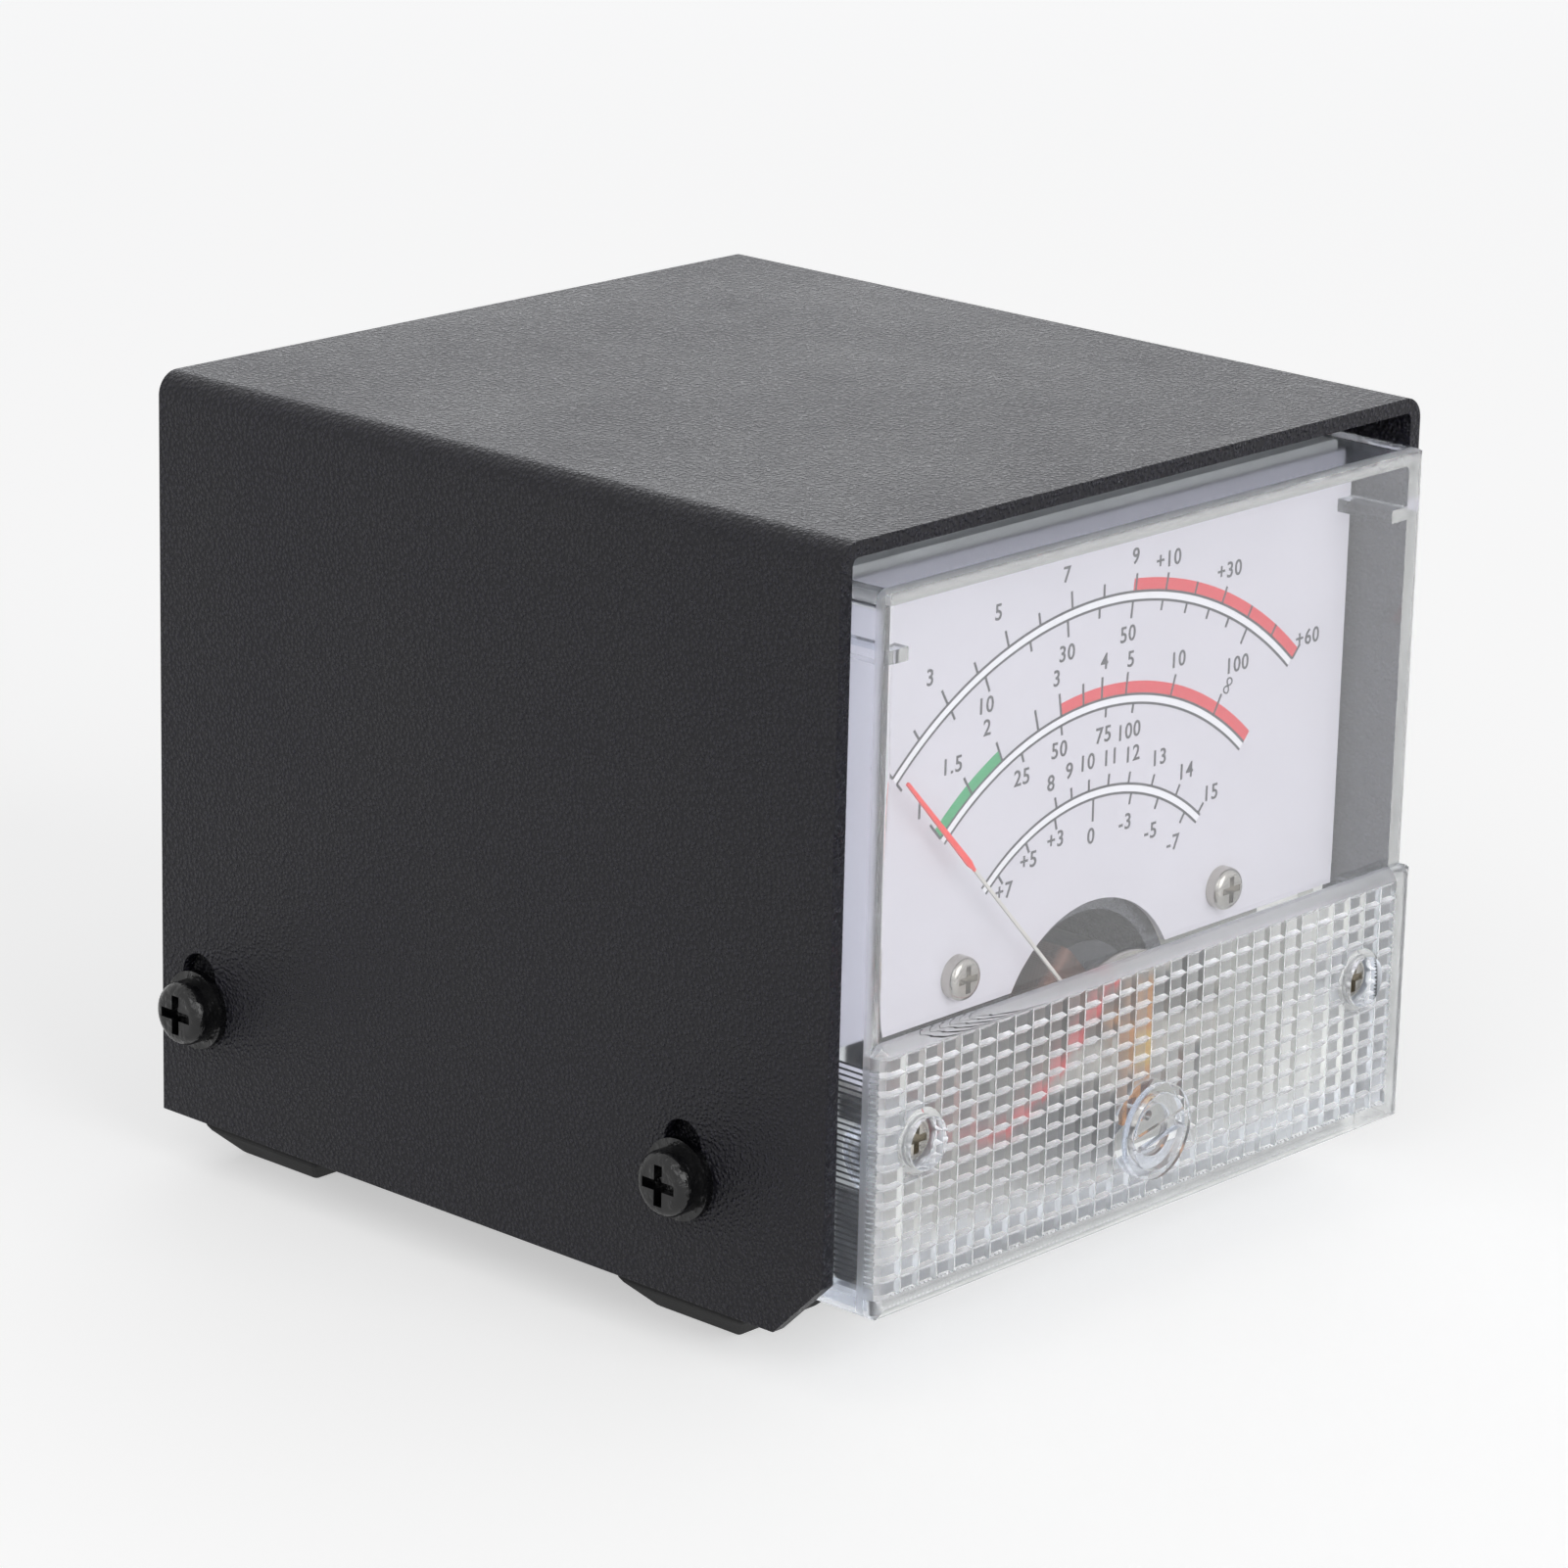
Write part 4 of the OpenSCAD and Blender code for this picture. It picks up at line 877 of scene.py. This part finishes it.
# %% Figures on the dial
labels = [
    ("3", 35.8, -31.5), ("5", 35.8, -18.9), ("7", 35.5, -6.8), ("9", 35.4, 5.6),
    ("+10", 35.1, 11.9), ("+30", 35.3, 24.1), ("+60", 35.0, 43.7),
    ("10", 30.05, -24.6), ("30", 29.7, -7.5), ("50", 29.7, 5.6), ("100", 29.5, 32.7),
    ("1", 28.6, -42.7), ("1.5", 28.5, -34.0), ("2", 28.5, -25.8), ("3", 28.2, -10.1),
    ("4", 28.0, 0.7), ("5", 27.8, 6.9), ("10", 28.0, 18.6),
    ("25", 22.8, -21.7), ("50", 22.8, -11.0), ("75", 22.5, 1.4), ("100", 22.5, 9.1),
    ("8", 20.7, -14.4), ("9", 20.8, -8.7), ("10", 20.8, -2.9), ("11", 20.7, 4.0),
    ("12", 20.8, 11.3), ("13", 20.75, 20.2), ("14", 20.6, 30.3), ("15", 20.5, 41.0),
    ("+7", 16.4, -37.3), ("+5", 16.5, -26.5), ("+3", 16.3, -15.8), ("0", 15.1, -1.6),
    ("-3", 15.7, 12.5), ("-5", 15.4, 24.6), ("-7", 15.5, 36.1),
]
LABEL_REACH = 1.02
FIGURE_TALL = 1.24 * MM
TALL_SHARE = 0.72
HALF_THICK = 0.02 * MM
STANDS_OUT = 0.011 * MM
BOLDER = 0.018 * MM


def figure(word, radius, at_deg):
    """The corners and faces of one word, centred at its place. A figure's height is
    TALL_SHARE of the text's size, and its middle STANDS_OUT before the dial. Text lies in x
    and y and thickens along z, so (x, y, z) becomes (x, -z, y)."""
    curve = bpy.data.curves.new("figure", "FONT")
    curve.body = word
    curve.size = FIGURE_TALL / TALL_SHARE
    curve.extrude = HALF_THICK
    curve.offset = BOLDER
    curve.resolution_u = 4
    curve.space_character = 1.12
    holder = bpy.data.objects.new("figure", curve)
    bpy.context.scene.collection.objects.link(holder)
    bpy.context.view_layer.update()
    mesh = bpy.data.meshes.new_from_object(holder)
    flat = np.zeros(3 * len(mesh.vertices))
    mesh.vertices.foreach_get("co", flat)
    flat = flat.reshape(-1, 3)
    middle = (flat.min(axis=0) + flat.max(axis=0)) / 2
    flat -= middle
    angle = math.radians(at_deg)
    place = np.array([pivot.x + radius * MM * math.sin(angle), face_y - STANDS_OUT,
                      pivot.z + radius * MM * math.cos(angle)])
    stood = np.stack([flat[:, 0], -flat[:, 2], flat[:, 1]], axis=1) + place
    faces = [list(p.vertices) for p in mesh.polygons]
    bpy.data.objects.remove(holder)
    bpy.data.curves.remove(curve)
    bpy.data.meshes.remove(mesh)
    return stood, faces


corners, faces, count = [], [], 0
for word, radius, at_deg in labels:
    points, word_faces = figure(word, radius * LABEL_REACH, at_deg)
    corners.append(points)
    faces += [[v + count for v in face] for face in word_faces]
    count += len(points)
print("figures:", len(labels), "corners:", count)

mesh = bpy.data.meshes.new("dial_numbers")
mesh.from_pydata(np.concatenate(corners).tolist(), [], faces)
mesh.validate()
type_set = bmesh.new()
type_set.from_mesh(mesh)
bmesh.ops.remove_doubles(type_set, verts=type_set.verts, dist=0.001 * MM)
bmesh.ops.recalc_face_normals(type_set, faces=type_set.faces)
type_set.to_mesh(mesh)
type_set.free()
mesh.materials.append(grey_ink)
numbers = bpy.data.objects.new("dial_numbers", mesh)
bpy.context.scene.collection.objects.link(numbers)
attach(numbers, "case")
print("dial_numbers corners:", len(mesh.vertices), "faces:", len(mesh.polygons))

# %% [markdown]
# ## The sign for endless
#
# The middle scale ends in the sign for endless, set on end so that it follows its tick. It
# is drawn as a lemniscate: with c = 1 + sin(t) squared, the long way is a cos(t) / c and
# the short way is a sin(t) cos(t) / c. A thin band of ink follows that line.

# %% A lemniscate as a closed ribbon
SIGN_LONG, SIGN_SHORT, SIGN_PEN = 0.6, 0.85, 0.13
SIGN_RADIUS, SIGN_ANGLE = 27.65, math.radians(32.4)
t = np.linspace(0, 2 * math.pi, 72, endpoint=False)
c = 1 + np.sin(t) ** 2
long_way = SIGN_LONG * np.cos(t) / c
short_way = SIGN_SHORT * np.sin(t) * np.cos(t) / c
path = np.stack([long_way, short_way], axis=1)
ahead = np.roll(path, -1, axis=0) - np.roll(path, 1, axis=0)
ahead /= np.linalg.norm(ahead, axis=1)[:, None]
aside = np.stack([-ahead[:, 1], ahead[:, 0]], axis=1) * SIGN_PEN / 2
rims = np.stack([path - aside, path + aside, path + aside, path - aside], axis=1)
out = np.array([math.sin(SIGN_ANGLE), math.cos(SIGN_ANGLE)])
over = np.array([math.cos(SIGN_ANGLE), -math.sin(SIGN_ANGLE)])
flat = (SIGN_RADIUS * LABEL_REACH + rims[..., :1]) * out + rims[..., 1:] * over
depth = np.array([INK_BACK, INK_BACK, face_y - INK_FRONT, face_y - INK_FRONT])
depth = np.broadcast_to(depth, flat.shape[:2])
ribbon = np.stack([pivot.x + flat[..., 0] * MM, depth, pivot.z + flat[..., 1] * MM], axis=-1)
add_piece("dial_endless_sign", [skin(ribbon, closed=True)], grey_ink)

# %% [markdown]
# ## Camera
#
# The meter is seen from its left front and a little above, with a long lens, so its edges
# run almost parallel. The camera looks at the middle of the object, and is rolled a little,
# as a hand-held one is.

# %% Place the camera
def aim_camera(azimuth, elevation, roll, distance, lens, target):
    """Stands back from the target along (sin a cos e, -cos a cos e, sin e) and looks at it,
    then rolls about the line of sight. Angles are in degrees, lengths in metres."""
    a, e = math.radians(azimuth), math.radians(elevation)
    back = Vector((math.sin(a) * math.cos(e), -math.cos(a) * math.cos(e), math.sin(e)))
    data = bpy.data.cameras.new("bench_camera")
    data.lens = lens
    data.sensor_width = 36.0
    camera = bpy.data.objects.new("bench_camera", data)
    bpy.context.scene.collection.objects.link(camera)
    turn = (-back).to_track_quat("-Z", "Y").to_matrix().to_4x4()
    turn = turn @ Matrix.Rotation(math.radians(roll), 4, "Z")
    camera.matrix_world = Matrix.Translation(target + back * distance) @ turn
    bpy.context.scene.camera = camera
    return camera


centre = (low + high) / 2
camera = aim_camera(azimuth=-48.0, elevation=17.0, roll=1.4, distance=0.465, lens=139.0,
                    target=centre)
print("camera at mm:", [round(v / MM) for v in camera.location])

# %% [markdown]
# ## Floor, lamps and room
#
# The meter stands on a plain pale floor in an even, soft light. The floor shines a little to
# the eye, to reflections and to what is seen through the acrylic, so that it comes out
# nearly white and yet keeps the meter's shadow.

# %% A pale floor that keeps the shadow
def looked_at(tree):
    """1 for a ray from the eye, from a reflection or through the acrylic, and 0 for light
    that falls on a surface."""
    rays = tree.nodes.new("ShaderNodeLightPath").outputs
    seen = sum_of(tree, "MAXIMUM", rays["Is Camera Ray"], rays["Is Glossy Ray"])
    return sum_of(tree, "MAXIMUM", seen, rays["Is Transmission Ray"])


floor_mesh = bpy.data.meshes.new("floor")
HALF_FLOOR = 4.0
corner_signs = ((-1, -1), (1, -1), (1, 1), (-1, 1))
floor_points = [(x * HALF_FLOOR, y * HALF_FLOOR, 0) for x, y in corner_signs]
floor_mesh.from_pydata(floor_points, [], [(0, 1, 2, 3)])
floor = bpy.data.objects.new("floor", floor_mesh)
bpy.context.scene.collection.objects.link(floor)
floor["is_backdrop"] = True

floor_paint = bpy.data.materials.new("pale_floor")
floor_paint.use_nodes = True
tree = floor_paint.node_tree
shader = tree.nodes["Principled BSDF"]
shader.inputs["Base Color"].default_value = (0.72, 0.72, 0.72, 1)
shader.inputs["Roughness"].default_value = 0.9
shader.inputs["Specular IOR Level"].default_value = 0.0
glow = sum_of(tree, "MULTIPLY", looked_at(tree), 0.5)
feed(tree, shader.inputs["Emission Strength"], glow)
shader.inputs["Emission Color"].default_value = (1, 1, 1, 1)
floor_mesh.materials.append(floor_paint)
print("floor:", 2 * HALF_FLOOR, "m wide")

# %% [markdown]
# ## The room
#
# The room round the meter is the World. It is white to the eye, to reflections and through
# the acrylic, at a strength of 1. The light that it lays on the surfaces is kept lower, so
# that a colour comes out as it was written.

# %% A white room with a lower light of its own
world = bpy.data.worlds.new("white_room")
world.use_nodes = True
bpy.context.scene.world = world
tree = world.node_tree
sky = tree.nodes["Background"]
ON_SURFACES = 0.4
strength = sum_of(tree, "MULTIPLY_ADD", looked_at(tree), 1 - ON_SURFACES, ON_SURFACES)
feed(tree, sky.inputs["Strength"], strength)
sky.inputs["Color"].default_value = (1, 1, 1, 1)
print("room strength: 1 to the eye,", ON_SURFACES, "on surfaces")

# %% [markdown]
# ## Lamps
#
# Three large square lamps light the meter as a light tent does: one in front and to the
# left, one from the left side, and a faint cool one from behind. A large lamp gives soft
# shadows and broad highlights, which suit a textured coat.

# %% Soft lamps
def soft_lamp(name, place, size, power, colour):
    """A square lamp of that size in metres, aimed at the middle of the meter."""
    data = bpy.data.lights.new(name, "AREA")
    data.shape = "SQUARE"
    data.size = size
    data.energy = power
    data.color = colour
    lamp = bpy.data.objects.new(name, data)
    bpy.context.scene.collection.objects.link(lamp)
    lamp.location = place
    lamp.rotation_mode = "QUATERNION"
    lamp.rotation_quaternion = (centre - Vector(place)).to_track_quat("-Z", "Y")


WHITE, COOL = (1.0, 1.0, 1.0), (0.93, 0.95, 1.0)
soft_lamp("key_lamp", (-0.1, -0.9, 0.4), 0.7, 3.4, WHITE)
soft_lamp("fill_lamp", (-0.8, -0.35, 0.6), 0.6, 1.8, WHITE)
soft_lamp("back_lamp", (0.80, 0.72, 0.45), 0.7, 1.55, COOL)

# %% [markdown]
# ## Light through many faces
#
# A ray that enters the block meets the front, a prism, a rib, and the same again on its way
# out. Where it is cut off before it is through, its place comes out black, and the moulded
# edges look burnt. The path is therefore allowed more turns than usual.

# %% Let a path turn often enough to come out again
turns = bpy.context.scene.cycles
turns.max_bounces = 28
turns.glossy_bounces = 20
turns.transmission_bounces = 28
turns.transparent_max_bounces = 24
print("turns of a path:", turns.max_bounces)

# %% [markdown]
# ## The dressed size
#
# The dressed meter must be the size of the solids.

# %% Show colours as written, and print the dressed size
bpy.context.scene.view_settings.view_transform = "Standard"
low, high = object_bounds()
print("dressed size in mm:", [round(1000 * s, 1) for s in high - low])
